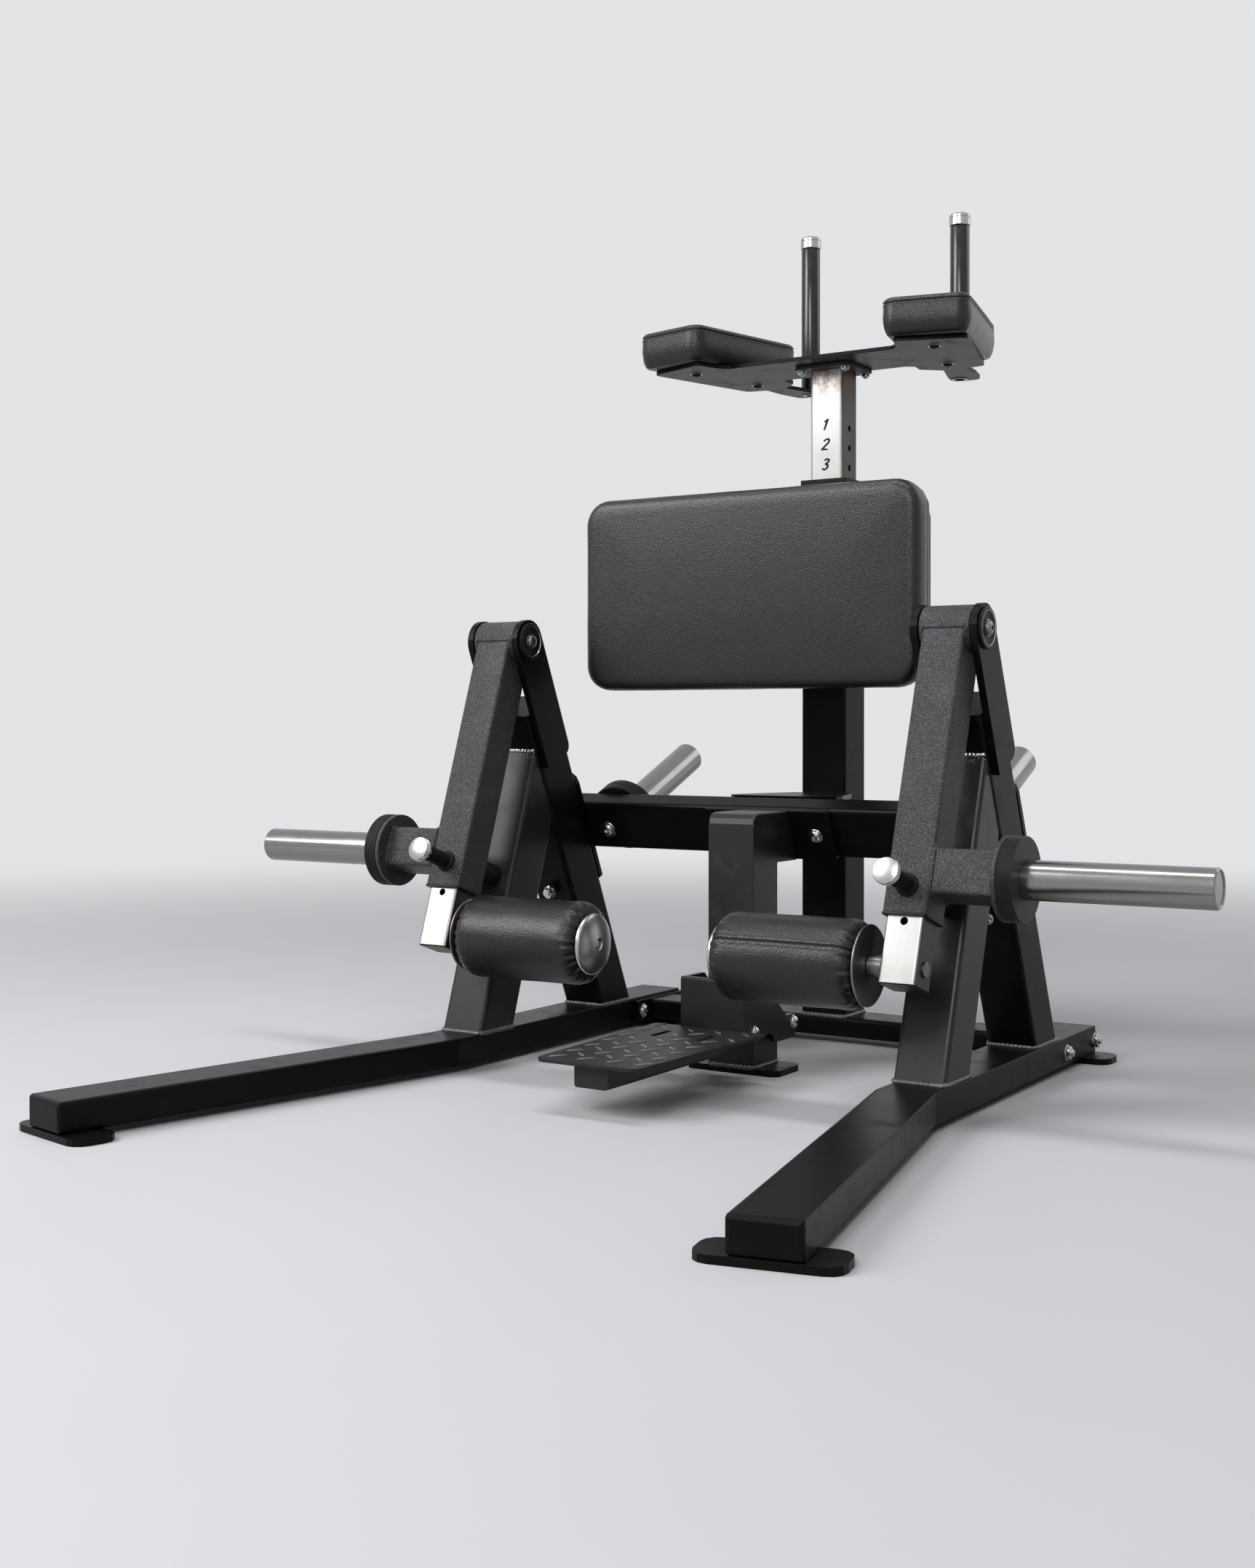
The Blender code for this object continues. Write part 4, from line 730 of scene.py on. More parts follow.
def button_screw(piece, place, radius, height, finish):
    """A low domed head with a socket, standing on the plane of place."""
    socket = hexagon(radius * 0.33)
    dome = [(radius * math.cos(a), height * (0.18 + 0.82 * math.sin(a)))
            for a in map(math.radians, (64, 54, 42, 28, 14, 0))]
    piece.turn([(0, height * 0.30), (socket, height * 0.30), (socket, height * 0.93)] + dome
               + [(radius, 0), (0, 0)], place, finish)


def washer(piece, place, radius, thickness, hole, finish):
    edge = thickness * 0.3
    piece.turn([(hole, thickness), (radius - edge, thickness), (radius, thickness - edge),
                (radius, 0), (hole, 0)], place, finish)


def hexagon_head(piece, place, apothem, height, thread, finish):
    """A nut or bolt head with its corners turned off; thread is how far a bolt's end stands out."""
    six = hexagon(apothem)
    round_corner = lambda angle: min(six(angle), apothem * 1.04)
    piece.turn([(0, height), (apothem * 0.90, height), (round_corner, height * 0.90),
                (six, height * 0.72), (six, height * 0.08), (apothem * 0.96, 0), (0, 0)],
               place, finish)
    if thread:
        size = apothem * 0.56
        top = height + thread
        profile = [(0, top), (size * 0.8, top)]
        for k in range(int(thread / THREAD_PITCH)):
            crest = top - k * THREAD_PITCH
            profile += [(size, crest - 0.3), (size * 0.9, crest - 0.7)]
        piece.turn(profile + [(size * 0.9, height * 0.5), (0, height * 0.5)], place, finish, 24)


def fasten(piece, place, ring, head, ring_finish, head_finish):
    """A washer of (radius, thickness, hole) with a button screw of (radius, height) on it, or a
    hexagon head where head has a third number, its thread."""
    washer(piece, place, *ring, ring_finish)
    make = hexagon_head if len(head) == 3 else button_screw
    make(piece, up(place, ring[1]), *head, head_finish)


print("screws ready, thread pitch", THREAD_PITCH, "mm")

# %% [markdown]
# ## Pivots
#
# Each arm turns on an axle between two ears. What shows is its cap on either side: a black ring, a
# thin brass rim, a dark disc, and in the middle a washer under a button screw. The loaded axle is
# one plain turning, so this piece stands for it, shaft included.

# %% Pivot caps
EAR_FACE = 46.6
for tag, word, side in SIDES:
    pivot = Piece(f"pivot_{tag}", "frame", "brushed_stainless")
    middle = move(side * LEG_X, *PIVOT)
    pivot.turn([(0, EAR_FACE), (10, EAR_FACE), (10, -EAR_FACE), (0, -EAR_FACE)],
               middle @ toward_x(1), SCREW_STEEL)
    for facing in (-1, 1):
        cap = up(middle @ toward_x(facing), EAR_FACE)
        pivot.turn([(23.8, 4), (26.8, 4), (28, 2.8), (28, 0), (23.8, 0)], cap, PLASTIC, 64)
        pivot.turn([(22.6, 3.6), (23.1, 4.3), (23.7, 4.3), (23.7, 0.1), (22.6, 0.1)], cap,
                   BRASS, 64)
        pivot.turn([(0, 2.6), (20.5, 2.6), (22.5, 3.2), (22.5, 0.2), (0, 0.2)], cap,
                   DARK_STEEL, 64)
        washer(pivot, up(cap, 2.7), 11.8, 1.2, 2, PIVOT_STEEL)
        button_screw(pivot, up(cap, 4), 9.8, 5.2, PIVOT_STEEL)
    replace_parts(pivot.done(), f"pivot_axle_{tag}")
print("pivot caps on both faces")

# %% [markdown]
# ## Weight horns
#
# The plates slide on a brushed sleeve and rest against a thick round flange. The flange is two
# discs: a coated steel plate welded to the stub, then a hair of shadow, then a rubber ring nearly
# three times as thick with ten fine grooves cut in its rim. The grooves catch the light as thin
# lines, so they are real turnings here.

# %% Flanges and sleeves
HORN_S = 0.335
STUB_END = 0.1148
HORN_END = 261.0
FLANGE_GROOVES = 10
STUB_OUTLINE = rounded(59.4, 59.4, 6)
for tag, word, side in SIDES:
    seat = arm_frame(side * LEG_X) @ move(x=side * STUB_END, z=-HORN_S) @ toward_x(side)
    flange = Piece(f"horn_flange_{tag}_ridged", f"{word}_arm", "rubber")
    # The ridged ring's rubber is painted a little lighter, a painted glint on its ridges.
    flange.turn([(25.3, 27.8), (53.2, 27.8), (53.8, 27.2)]
                + grooves(53.8, 53.1, 26.02, 1.78, FLANGE_GROOVES)
                + [(53.8, 9), (53.2, 8.3), (25.3, 8.3)], seat, FLANGE_RUBBER_PAINTED_GLINT, 96)
    flange.turn([(25.3, 8.3), (51.6, 8.3), (51.6, 7), (53, 7), (53.8, 6.2), (53.8, 1.1),
                 (53, 0.3), (25.3, 0.3)], seat, WRINKLE, 96)
    flange.bead(laid(seat, STUB_OUTLINE, -0.4), 2.6, WRINKLE, 21 + side, True)
    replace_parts(flange.done(28), f"horn_flange_{tag}")
    sleeve = Piece(f"weight_horn_{tag}_sleeve", f"{word}_arm", "brushed_stainless")
    sleeve.turn([(0, -1.5), (21.2, -1.5), (22.2, 0), (23.4, 0), (25, -2.2), (25, -HORN_END),
                 (21.5, -HORN_END), (21.5, -6), (0, -6)], up(seat, HORN_END), HORN_STEEL, 96)
    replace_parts(sleeve.done(), f"weight_horn_{tag}")
print("flange grooves:", FLANGE_GROOVES)

# %% [markdown]
# ## Spring pull pins
#
# A black grooved barrel is welded to the arm, and a bright domed head pulls the pin. The neck
# between them has two turned rings. Housing and plunger are two pieces, because the plunger slides.

# %% Pull pins
PIN_S = 0.356
PIN_BODY = 46.0
ARM_FACE = 0.0303
MAST_PIN = (0.03855, MAST_Y, 0.852)


def pin_housing(name, body, seat, node):
    piece = Piece(name, body, "plastic")
    piece.turn([(6.2, PIN_BODY), (10.4, PIN_BODY), (11.4, PIN_BODY - 1)]
               + grooves(11.4, 10.8, PIN_BODY - 5.2, 3, 3, 0.7, 0.3)
               + [(11.4, 6.2), (12.6, 5.4), (12.6, 0.2), (6.2, 0.2)], seat, DARK_STEEL)
    ring = [polar(12.8, a) for a in circle(24)]
    piece.bead(laid(seat, ring, 2.2), 2.6, DARK_STEEL, 5, True)
    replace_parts(piece.done(), node)


def pull_head(name, body, seat, node):
    piece = Piece(name, body, "aluminium")
    foot = PIN_BODY + 14
    top = foot + 12
    crown = [(16.4 * k / 9, top - 2.2 * (k / 9) ** 2) for k in range(10)]
    piece.turn(crown + [(17.2, top - 3.4)] + grooves(17.2, 16.7, foot + 7.5, 2, 3)
               + [(17.2, foot + 1.2), (16.2, foot), (6.6, foot), (6, foot - 1)],
               seat, ALUMINIUM, 64)
    neck = ((6, 0.5), (6, 2.4), (8.2, 3.4), (8.2, 5.6), (6.2, 6.6), (6.2, 7.8), (9.2, 8.8),
            (9.2, 11.2), (6, 12.2))
    piece.turn([(0, foot + 1)] + [(radius, foot - down) for radius, down in neck]
               + [(6, 4), (4.4, 3), (4.4, -4.4), (0, -4.4)], seat, POLISHED)
    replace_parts(piece.done(), node)


for tag, word, side in SIDES:
    seat = arm_frame(side * LEG_X) @ move(y=-ARM_FACE, z=-PIN_S) @ FORWARD
    pin_housing(f"pin_barrel_{tag}", f"{word}_arm", seat, f"pin_housing_{tag}")
    pull_head(f"pull_head_{tag}", f"{word}_pin", seat, f"pin_plunger_{tag}")
seat = move(*MAST_PIN) @ toward_x(1)
pin_housing("mast_pin_barrel", "frame", seat, "mast_pin_housing")
pull_head("mast_pull_head", "mast_pin", seat, "mast_pin_plunger")
print("pull pins: 3")

# %% [markdown]
# ## Mouths and plugs
#
# Where the drilled insert leaves the arm, a thin black bushing closes the gap, and a plug closes
# the insert's lower end. A plate with a square hole and an eased square make them.

# %% Bushings and plugs
ARM_END = 391.0
INSERT_END = 480.0
for tag, word, side in SIDES:
    here = arm_frame(side * LEG_X)
    bushing = Piece(f"arm_bushing_{tag}", f"{word}_arm", "plastic")
    bushing.plate(rounded(62.2, 62.2, 6), -ARM_END - 3.2, -ARM_END - 0.1, here, PLASTIC, 0.5,
                  rounded(50.8, 50.8, 4.4))
    bushing.done()
    plug = Piece(f"insert_plug_{tag}", f"{word}_insert", "plastic")
    plug.plate(rounded(48.6, 48.6, 4.2), -INSERT_END - 1.6, -INSERT_END - 0.1, here, PLASTIC)
    plug.done()
print("bushings and plugs: 4")

# %% [markdown]
# ## Storage horns, stops and bolts
#
# Behind the beam each storage horn carries two black rubber discs and a brushed sleeve, all held by
# one bolt whose washer and button head show in front. The stop behind each swing arm is a rubber
# buffer on a bolt that runs through the front leg to a dark nut. Lower down, the front face of each
# rear leg carries a bolt with a dark foot, two bright washers and a bright head.

# %% Storage horns
BEAM_S = 0.337
BEAM_T = 48.6
BEAM_REAR = 88.9
STORAGE_X, STORAGE_S = 0.2965, 0.343
for tag, word, side in SIDES:
    seat = rear_frame(side * STORAGE_X) @ move(z=-STORAGE_S) @ BACK
    horn = Piece(f"storage_horn_{tag}_stack", "frame", "brushed_stainless")
    for behind in (0.1, 14.3):
        horn.turn([(4, 13.8), (53.5, 13.8), (55.2, 12.4), (55.2, 1.4), (53.5, 0), (4, 0)],
                  up(seat, BEAM_REAR + behind), RUBBER, 96)
    foot = BEAM_REAR + 28.3
    horn.turn([(0, 203), (20.8, 203), (21.4, 206.6), (23.6, 206.6), (25, 204.8), (25, 0), (0, 0)],
              up(seat, foot), HORN_STEEL, 96)
    horn.turn([(0, foot), (5.8, foot), (5.8, BEAM_T - 1.4), (0, BEAM_T - 1.4)], seat,
              SCREW_STEEL, 24)
    fasten(horn, up(seat, BEAM_T - 0.4) @ FLIP, (13.8, 1.9, 4), (9.8, 5.4), SCREW_STEEL, POLISHED)
    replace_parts(horn.done(), f"storage_horn_{tag}")
print("storage horns: 2")

# %% Stops behind the swing arms
STOP_UP = 0.225
HALF_ARM = 0.030
touch = arm_frame(0).inverted() @ (front_frame(0) @ Vector((0, -HALF_LEG, STOP_UP)))
STOP_TIP = (HALF_LEG + touch.y - HALF_ARM) / MM - 0.6
for tag, word, side in SIDES:
    seat = front_frame(side * LEG_X) @ move(z=STOP_UP) @ FORWARD
    stop = Piece(f"arm_stop_{tag}_buffer", "frame", "rubber")
    stop.turn([(0, STOP_TIP), (14, STOP_TIP), (16.6, STOP_TIP - 1.2), (17.8, STOP_TIP - 4.2),
               (17.8, 40.5), (6, 40.5), (6, 40), (0, 40)], seat, RUBBER, 64)
    rear = up(seat, -40.3) @ FLIP
    washer(stop, rear, 10.8, 1.6, 4, DARK_STEEL)
    hexagon_head(stop, up(rear, 1.8), 8.6, 6.6, 5, DARK_STEEL)
    stop.turn([(0, 40.2), (5.8, 40.2), (5.8, -40.2), (0, -40.2)], seat, SCREW_STEEL, 24)
    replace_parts(stop.done(), f"arm_stop_{tag}")
print("stops stand out", round(STOP_TIP, 1), "mm")

# %% Bolts of the legs, the beam, the rails and the bracket
LEG_BOLT_S = 0.407
BEAM_BOLT_X = 0.078
RAIL_BOLT_Y, RAIL_BOLT_Z = (MAST_Y - 0.062, MAST_Y + 0.062), 0.0273
RAIL_OUTSIDE, RAIL_INSIDE = 0.4076, 0.3210
CHEEK_X, CHEEK_BOLT_Y, CHEEK_BOLT_Z = 0.0516, (-0.060, 0.060), 0.066
bolts = Piece("frame_bolts", "frame", "brushed_stainless")
for side in (-1, 1):
    leg = rear_frame(side * LEG_X) @ move(y=-HALF_LEG, z=-LEG_BOLT_S) @ FORWARD
    hexagon_head(bolts, up(leg, 0.1), 7.6, 8.2, 0, DARK_STEEL)
    for rise in (8.4, 10.3):
        washer(bolts, up(leg, rise), 10, 1.7, 4, POLISHED)
    hexagon_head(bolts, up(leg, 12.1), 8, 6.2, 1.4, POLISHED)
    beam = rear_frame(side * BEAM_BOLT_X) @ move(z=-BEAM_S) @ BACK
    fasten(bolts, up(beam, BEAM_T - 8.6) @ FLIP, (11.2, 1.5, 4), (9.2, 5.2), SCREW_STEEL, POLISHED)
    for y in RAIL_BOLT_Y:
        outer = move(side * RAIL_OUTSIDE, y, RAIL_BOLT_Z) @ toward_x(side)
        fasten(bolts, outer, (11.8, 1.6, 4), (8.8, 5.8, 3.6), SCREW_STEEL, SCREW_STEEL)
        inner = move(side * RAIL_INSIDE, y, RAIL_BOLT_Z) @ toward_x(-side)
        fasten(bolts, inner, (11.8, 1.6, 4), (9.8, 5.4), SCREW_STEEL, SCREW_STEEL)
    for y in CHEEK_BOLT_Y:
        cheek = move(side * CHEEK_X, y, CHEEK_BOLT_Z) @ toward_x(side)
        head, metal = ((8.6, 4.8), POLISHED) if side > 0 else ((8, 6.2, 3.2), SCREW_STEEL)
        fasten(bolts, cheek, (10.2, 1.3, 3), head, SCREW_STEEL, metal)
bolts.done()
print("frame bolts placed")

# %% Bolts of the arm plate
PLATE_LOW = 1.076
PLATE_TOP = PLATE_LOW + 0.006
FLANGE_BOLT = 0.038
TAB_BOLTS = ((0.2075, 0.217), (0.1705, 0.357))
plate_bolts = Piece("arm_plate_bolts", "arm_rest", "brushed_stainless")
for a in (-1, 1):
    for b in (-1, 1):
        x, y = a * FLANGE_BOLT, MAST_Y + b * FLANGE_BOLT
        fasten(plate_bolts, move(x, y, PLATE_LOW - 0.0054) @ FLIP, (7.8, 1, 2), (6.2, 5, 2.2),
               SCREW_STEEL, SCREW_STEEL)
        button_screw(plate_bolts, move(x, y, PLATE_TOP + 0.0001), 6.8, 3.4, DARK_STEEL)
    for x, y in TAB_BOLTS:
        fasten(plate_bolts, move(a * x, y, PLATE_LOW - 0.0001) @ FLIP, (9.8, 1, 3), (7.8, 3.6),
               POLISHED, DARK_STEEL)
plate_bolts.done()
print("plate bolts placed")

# %% [markdown]
# ## Rollers
#
# A roller is a foam tube in a sleeve of leatherette. The sleeve is cut a little long and gathered
# over the rounded ends, so fine folds run to the middle there, and one seam runs along it. The
# right roll shows its seam in front, and the left one is turned so that its seam is behind. A
# polished cap closes the inner end and a steel disc the outer one. The folds are a sum of waves
# round the axis that grow from nothing on the cylinder to their full depth on the ends.

# %% Foam rolls
ROLLER_S = 0.456
ROLL_START = 52.3
ROLL_LENGTH = 207.0
ROLL_R = 58.5
ROLL_ROUND = 22.0
ROLL_POINTS = 240
SEAM_RISE = {"L": math.radians(205.0), "R": math.radians(29.0)}
SEAM_GROOVE = (-2.0, 0.4, 0.7, 0.5, 0.2)


def roller_frame(side):
    return arm_frame(side * LEG_X) @ move(z=-ROLLER_S) @ toward_x(-side)


def fold(angle):
    """Narrow uneven folds between full gathers: a wave bent into valleys, and two to disturb it."""
    wave = math.sin(23 * angle + 1.0 + 0.7 * math.sin(3 * angle))
    return (0.35 - abs(wave) ** 0.5 if wave < 0 else 0.35 * wave) + 0.22 * math.sin(
        37 * angle + 2.2) + 0.10 * math.sin(7 * angle + 4.1)


def roll_rows():
    """(radius, height, outward direction, how far it is gathered) from end to end."""
    core = ROLL_R - ROLL_ROUND
    near = [(17.6 + k / 3 * (core - 17.6), 2.6 - 0.6 * k, -90, 0.55 + 0.35 * k / 3)
            for k in range(3)]
    for k in range(9):
        turn = -90 + 90 * k / 8
        bend = polar(ROLL_ROUND, math.radians(turn))
        near.append((core + bend.x, ROLL_ROUND + bend.y, turn, (1 - k / 8) ** 0.8))
    middle = []
    for k in range(1, 12):
        t = k / 12
        middle.append((ROLL_R - 0.7 + 0.7 * math.sin(math.pi * t),
                       ROLL_ROUND + (ROLL_LENGTH - 2 * ROLL_ROUND) * t, 0, 0.0))
    return near + middle + [(r, ROLL_LENGTH - z, -turn, g) for r, z, turn, g in reversed(near)]


for tag, word, side in SIDES:
    place = roller_frame(side)
    rise = SEAM_RISE[tag]
    toward = Matrix.Rotation(ARM_LEAN, 3, "X") @ Vector((0, -math.cos(rise), math.sin(rise)))
    seam = math.atan2(toward.y, toward.z * side)
    pad = Piece(f"roller_cover_{tag}", f"{word}_roller", "leather")
    rings = []
    for radius, height, turn, gather in roll_rows():
        out = polar(1, math.radians(turn))
        ring = []
        for k, a in enumerate(circle(ROLL_POINTS, seam)):
            near = min(k, ROLL_POINTS - k)
            lift = SEAM_GROOVE[near] if near < len(SEAM_GROOVE) else 0.0
            lift += fold(a + side) * 2.6 * gather
            here = polar(radius, a, height) * MM
            lift += noise.noise(here * 26 + Vector((side * 3, 0, 0))) * 0.8
            ring.append(place @ (polar(radius + lift * out.x, a,
                                       ROLL_START + height + lift * out.y) * MM))
        rings.append(ring)
    pad.skin(rings, LEATHER, closed=True)
    # A thin dark cord along the seam's groove: a painted shade standing for the groove's shadow.
    pad.sweep([ring[0] for ring in rings[4:-4]], 0.9, PLASTIC, 6)
    cover = pad.done(80)
    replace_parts(cover, f"roller_pad_{tag}")
print("rolls:", ROLL_LENGTH, "mm long,", ROLL_R, "mm radius")

# %% Polished caps and end discs
DOME_R = 42.5
CROWN = 11.5
CAP_FOOT = ROLL_START + ROLL_LENGTH + 0.3
rise = CROWN - 4
ball = (DOME_R ** 2 + rise ** 2) / (2 * rise)
dome = []
for k in range(13):
    r = 10 + (DOME_R - 12.2) * k / 12
    dome.append((r, CROWN - ball + math.sqrt(ball ** 2 - r ** 2)))
top = dome[0][1]
for tag, word, side in SIDES:
    place = roller_frame(side)
    core = Piece(f"roller_cap_{tag}", f"{word}_roller", "polished_steel")
    end = up(place, CAP_FOOT)
    core.turn(dome + [(DOME_R - 0.7, 3.8), (DOME_R, 2.8), (DOME_R, 0), (17.2, 0),
                      (17.2, -CAP_FOOT + ROLL_START), (10.2, -CAP_FOOT + ROLL_START), (10.2, 3),
                      (10, 4)], end, CAP_STEEL, 96)
    core.turn([(10.2, -0.5), (51, -0.5), (52.5, -1.2), (52.5, -2.6), (51.5, -3.3), (10.2, -3.3)],
              up(place, ROLL_START), DISC_STEEL, 96)
    core.turn([(7.2, top - 1.2), (8.6, top + 0.2), (9.9, top - 0.1), (9.9, 6.2), (7.2, 6.2)],
              end, SCREW_STEEL, 96)
    button_screw(core, up(end, 7.4), 7, 3.4, SCREW_STEEL)
    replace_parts(core.done(), f"roller_core_{tag}")
    hub = Piece(f"roller_hub_{tag}", f"{word}_insert", "brushed_stainless")
    washer(hub, up(place, 25.2), 16.5, 3, 10.1, SPINDLE_STEEL)
    hub.turn([(10.1, 48), (14, 48), (14, 33), (12.5, 30), (12.5, 28.2), (10.1, 28.2)], place,
             SPINDLE_STEEL)
    hub.done()
print("caps and discs: 2")

# %% [markdown]
# ## Handles
#
# A handle is a steel tube through the plate's tab, a smooth black grip over it, and a turned
# aluminium cap with a chamfer and one groove. Three turnings on one axis make it, measured from
# the plate's underside.

# %% Handles
HANDLE = (0.137, 0.4875)
HANDLE_TOP = 271.0
CAP_LOW = HANDLE_TOP - 20
GRIP_LOW = 10.0
for tag, word, side in SIDES:
    axis = move(side * HANDLE[0], HANDLE[1], PLATE_LOW)
    handle = Piece(f"handle_{tag}_grip", "arm_rest", "foam_grip")
    handle.turn([(9.5, CAP_LOW), (15, CAP_LOW), (16, CAP_LOW - 2), (16, GRIP_LOW + 2.4),
                 (15.2, GRIP_LOW), (12.6, GRIP_LOW), (12.6, -1), (9.5, -1)], axis, FOAM, 64)
    chamfer = ((0, 0), (14.6, 0), (17.1, 2.6), (17.1, 5.8), (16.3, 6.4), (16.3, 7.6), (17.4, 8.2))
    handle.turn([(radius, HANDLE_TOP - down) for radius, down in chamfer]
                + [(17.4, CAP_LOW + 1.2), (16.6, CAP_LOW + 0.2), (0, CAP_LOW + 0.2)],
                axis, ALUMINIUM, 64)
    handle.turn([(9.5, -1.2), (12.5, -1.2), (12.5, -0.9), (9.5, -0.9)], axis, SCREW_STEEL, 64)
    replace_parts(handle.done(), f"handle_{tag}")
print("handles: 2, tops at", PLATE_LOW + HANDLE_TOP * MM)

# %% [markdown]
# ## Pads
#
# The pads are foam on a board, wrapped in leatherette that is pulled tight and stapled behind. That
# gives a full face, sides that swell a little, and small puckers where the cover folds round the
# lower corners. The elbow pads have a sewn edge near the top. Rows of points climb the side and
# close over the face. The seam is a row drawn in, and each stitch is a short bar on the cover.

# %% Cushion shaping
STITCH_STEP = 0.4
STITCH_RUN = 9
STITCH_EVERY = 14
STITCH_R = 0.75


def soft_outline(half_x, half_y, corner, per_side=14, per_corner=8):
    """Points round a soft rectangle, each with how near it is to a corner, from 0 to 1."""
    out = []
    signs = ((1, 1), (-1, 1), (-1, -1), (1, -1))
    centres = [Vector((sx * (half_x - corner), sy * (half_y - corner), 0)) for sx, sy in signs]
    for k, centre in enumerate(centres):
        for i in range(per_corner):
            out.append((centre + polar(corner, math.pi / 2 * (k + i / per_corner)),
                        math.sin(math.pi * i / per_corner)))
        edge = polar(corner, math.pi / 2 * (k + 1))
        start, end = centre + edge, centres[(k + 1) % 4] + edge
        out += [(start.lerp(end, i / per_side), 0.0) for i in range(per_side)]
    return out


def pad_rings(half_x, half_y, corner, rows, pucker, seed):
    """One ring a row. A row is (height, inset, how much the corner puckers)."""
    rings = []
    for height, inset, folds in rows:
        ring = []
        reach_x, reach_y = half_x - inset, half_y - inset
        curve = min(max(corner - inset, corner * 0.3), min(reach_x, reach_y) * 0.85)
        for i, (spot, near) in enumerate(soft_outline(reach_x, reach_y, curve)):
            out = Vector((spot.x / reach_x, spot.y / reach_y, 0)).normalized()
            spot.z = height
            lift = math.sin(i * 2.4 + seed) * near * folds * pucker
            lift += noise.noise(spot * (30 * MM) + Vector((seed, 0, 0))) * 0.5
            ring.append(spot + out * lift)
        rings.append(ring)
    return rings


def face_rows(height, inset, crown, span, count=7):
    """The rows that close over the face, rising to its crown."""
    return [(height + crown * math.sin(math.pi / 2 * k / count),
             inset + (span - inset) * (k / count) ** 1.15, 0.0) for k in range(1, count + 1)]


def stitches(piece, ring, place):
    """A row of stitches along a ring, each a bar that stands proud in its middle."""
    path = walk(ring, STITCH_STEP, True)
    centre = sum(path, Vector()) / len(path)
    for k in range(0, len(path) - STITCH_EVERY, STITCH_EVERY):
        bar = []
        for steps, lift in ((0, 0.0), (STITCH_RUN // 2, 0.4), (STITCH_RUN, 0.0)):
            p = path[k + steps]
            out = Vector((p.x - centre.x, p.y - centre.y, 0)).normalized()
            bar.append(place @ ((p + out * lift) * MM))
        # The thread is painted lighter, a painted highlight along each stitch.
        piece.sweep(bar, [STITCH_R * 0.7, STITCH_R, STITCH_R * 0.7], THREAD_PAINTED_HIGHLIGHT, 5)


def cover(piece, rings, place):
    piece.skin([[place @ (p * MM) for p in ring] for ring in rings], LEATHER, caps=True)


print("cushion shaping ready, a stitch every", round(STITCH_EVERY * STITCH_STEP, 1), "mm")

# %% Elbow pads
ELBOW = (66.0, 126.0, 22.0)
ELBOW_PLACE = (0.1945, 0.269)
ELBOW_TURN = math.radians(12.5)
ELBOW_ROWS = [(0.2, 10, 0.3), (1.2, 8, 0.5), (4, 5.6, 0.8), (8.5, 3.4, 1), (14, 1.5, 0.7),
              (20, 0.4, 0.3), (27, -0.3, 0.1), (34, 0, 0), (40, 0.3, 0), (44, 0.4, 0),
              (46.8, 0.6, 0), (48, 1.8, 0), (49.2, 0.7, 0), (52, 1.2, 0), (54.6, 3.2, 0),
              (56.4, 6.4, 0), (57.3, 11, 0)] + face_rows(57.3, 11, 1, 57)
for tag, word, side in SIDES:
    seat = move(side * ELBOW_PLACE[0], ELBOW_PLACE[1], PLATE_TOP + 0.0002)
    place = seat @ Matrix.Rotation(side * ELBOW_TURN, 4, "Z")
    pad = Piece(f"elbow_cushion_{tag}", "arm_rest", "leather")
    cover(pad, pad_rings(*ELBOW, ELBOW_ROWS, 1.1, 2.0 + side), place)
    for seam in ((45.2, 0.4, 0), (50.8, 0.8, 0)):
        stitches(pad, pad_rings(*ELBOW, [seam], 0.0, 2.0 + side)[0], place)
    cushion = pad.done(70)
    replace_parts(cushion, f"elbow_pad_{tag}")
print("elbow pads: 2")

# %% Thigh pad
THIGH_ROWS = [(0.2, 12, 0.3), (1.4, 9, 0.7), (5, 6.6, 1), (11, 4.8, 0.8), (16, 3.8, 0.4),
              (17.6, 4.8, 0.2), (19.2, 3.4, 0.1), (26, 1.2, 0), (34, 0, 0), (43, 0.2, 0),
              (49, 0.8, 0), (54, 2.4, 0), (58, 5.6, 0), (60.6, 10, 0),
              (62, 16, 0)] + face_rows(62, 16, 2.8, 138, 9)
THIGH = (278.0, 146.5, 40.0)
THIGH_BOARD = (0, 0.0545, 0.7045)
pad = Piece("thigh_cushion", "frame", "leather")
cover(pad, pad_rings(*THIGH, THIGH_ROWS, 1.2, 5.0), move(*THIGH_BOARD) @ FORWARD)
cushion = pad.done(70)
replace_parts(cushion, "thigh_pad")
print("thigh pad rows:", len(THIGH_ROWS))

# %% [markdown]
# ## The tread
#
# The foot plate is rolled with raised lugs, each a lens about 28 mm long, in two directions that
# take turns. They are real swellings on the plate, so they shine along their tops, and their coat
# is painted lighter than the plate, a painted highlight. None lies on the plate's edge or over its
# two slots.

# %% Tread lugs
TREAD_TOP = 0.0730
TREAD_NEAR = -0.4175
TREAD_HALF, TREAD_FLARE = 0.079, 0.012 / 0.32
LUG_FIELD = (-0.4065, -0.108)
LUG_MARGIN = 0.011
LUG_PITCH = (0.0428, 0.0472)
LUG_START = (0.0066, -0.4115)
SLOT = (0.037, -0.170)
LUG_SECTION = ((1, -0.2), (0.74, 0.55), (0.36, 0.92), (0, 1), (-0.36, 0.92), (-0.74, 0.55),
               (-1, -0.2))


def lug(piece, x, y, angle):
    place = move(x, y, TREAD_TOP) @ Matrix.Rotation(math.radians(angle), 4, "Z")
    rings = []
    for k in range(9):
        t = -1 + k / 4
        swell = math.sqrt(max(1 - t * t, 0.02))
        rings.append([place @ (Vector((13.8 * t, 2.6 * swell * across, 1.7 * swell * rise)) * MM)
                      for across, rise in LUG_SECTION])
    # The lug coat is painted lighter, a painted highlight.
    piece.skin(rings, LUG_COAT_PAINTED_HIGHLIGHT, caps=True)


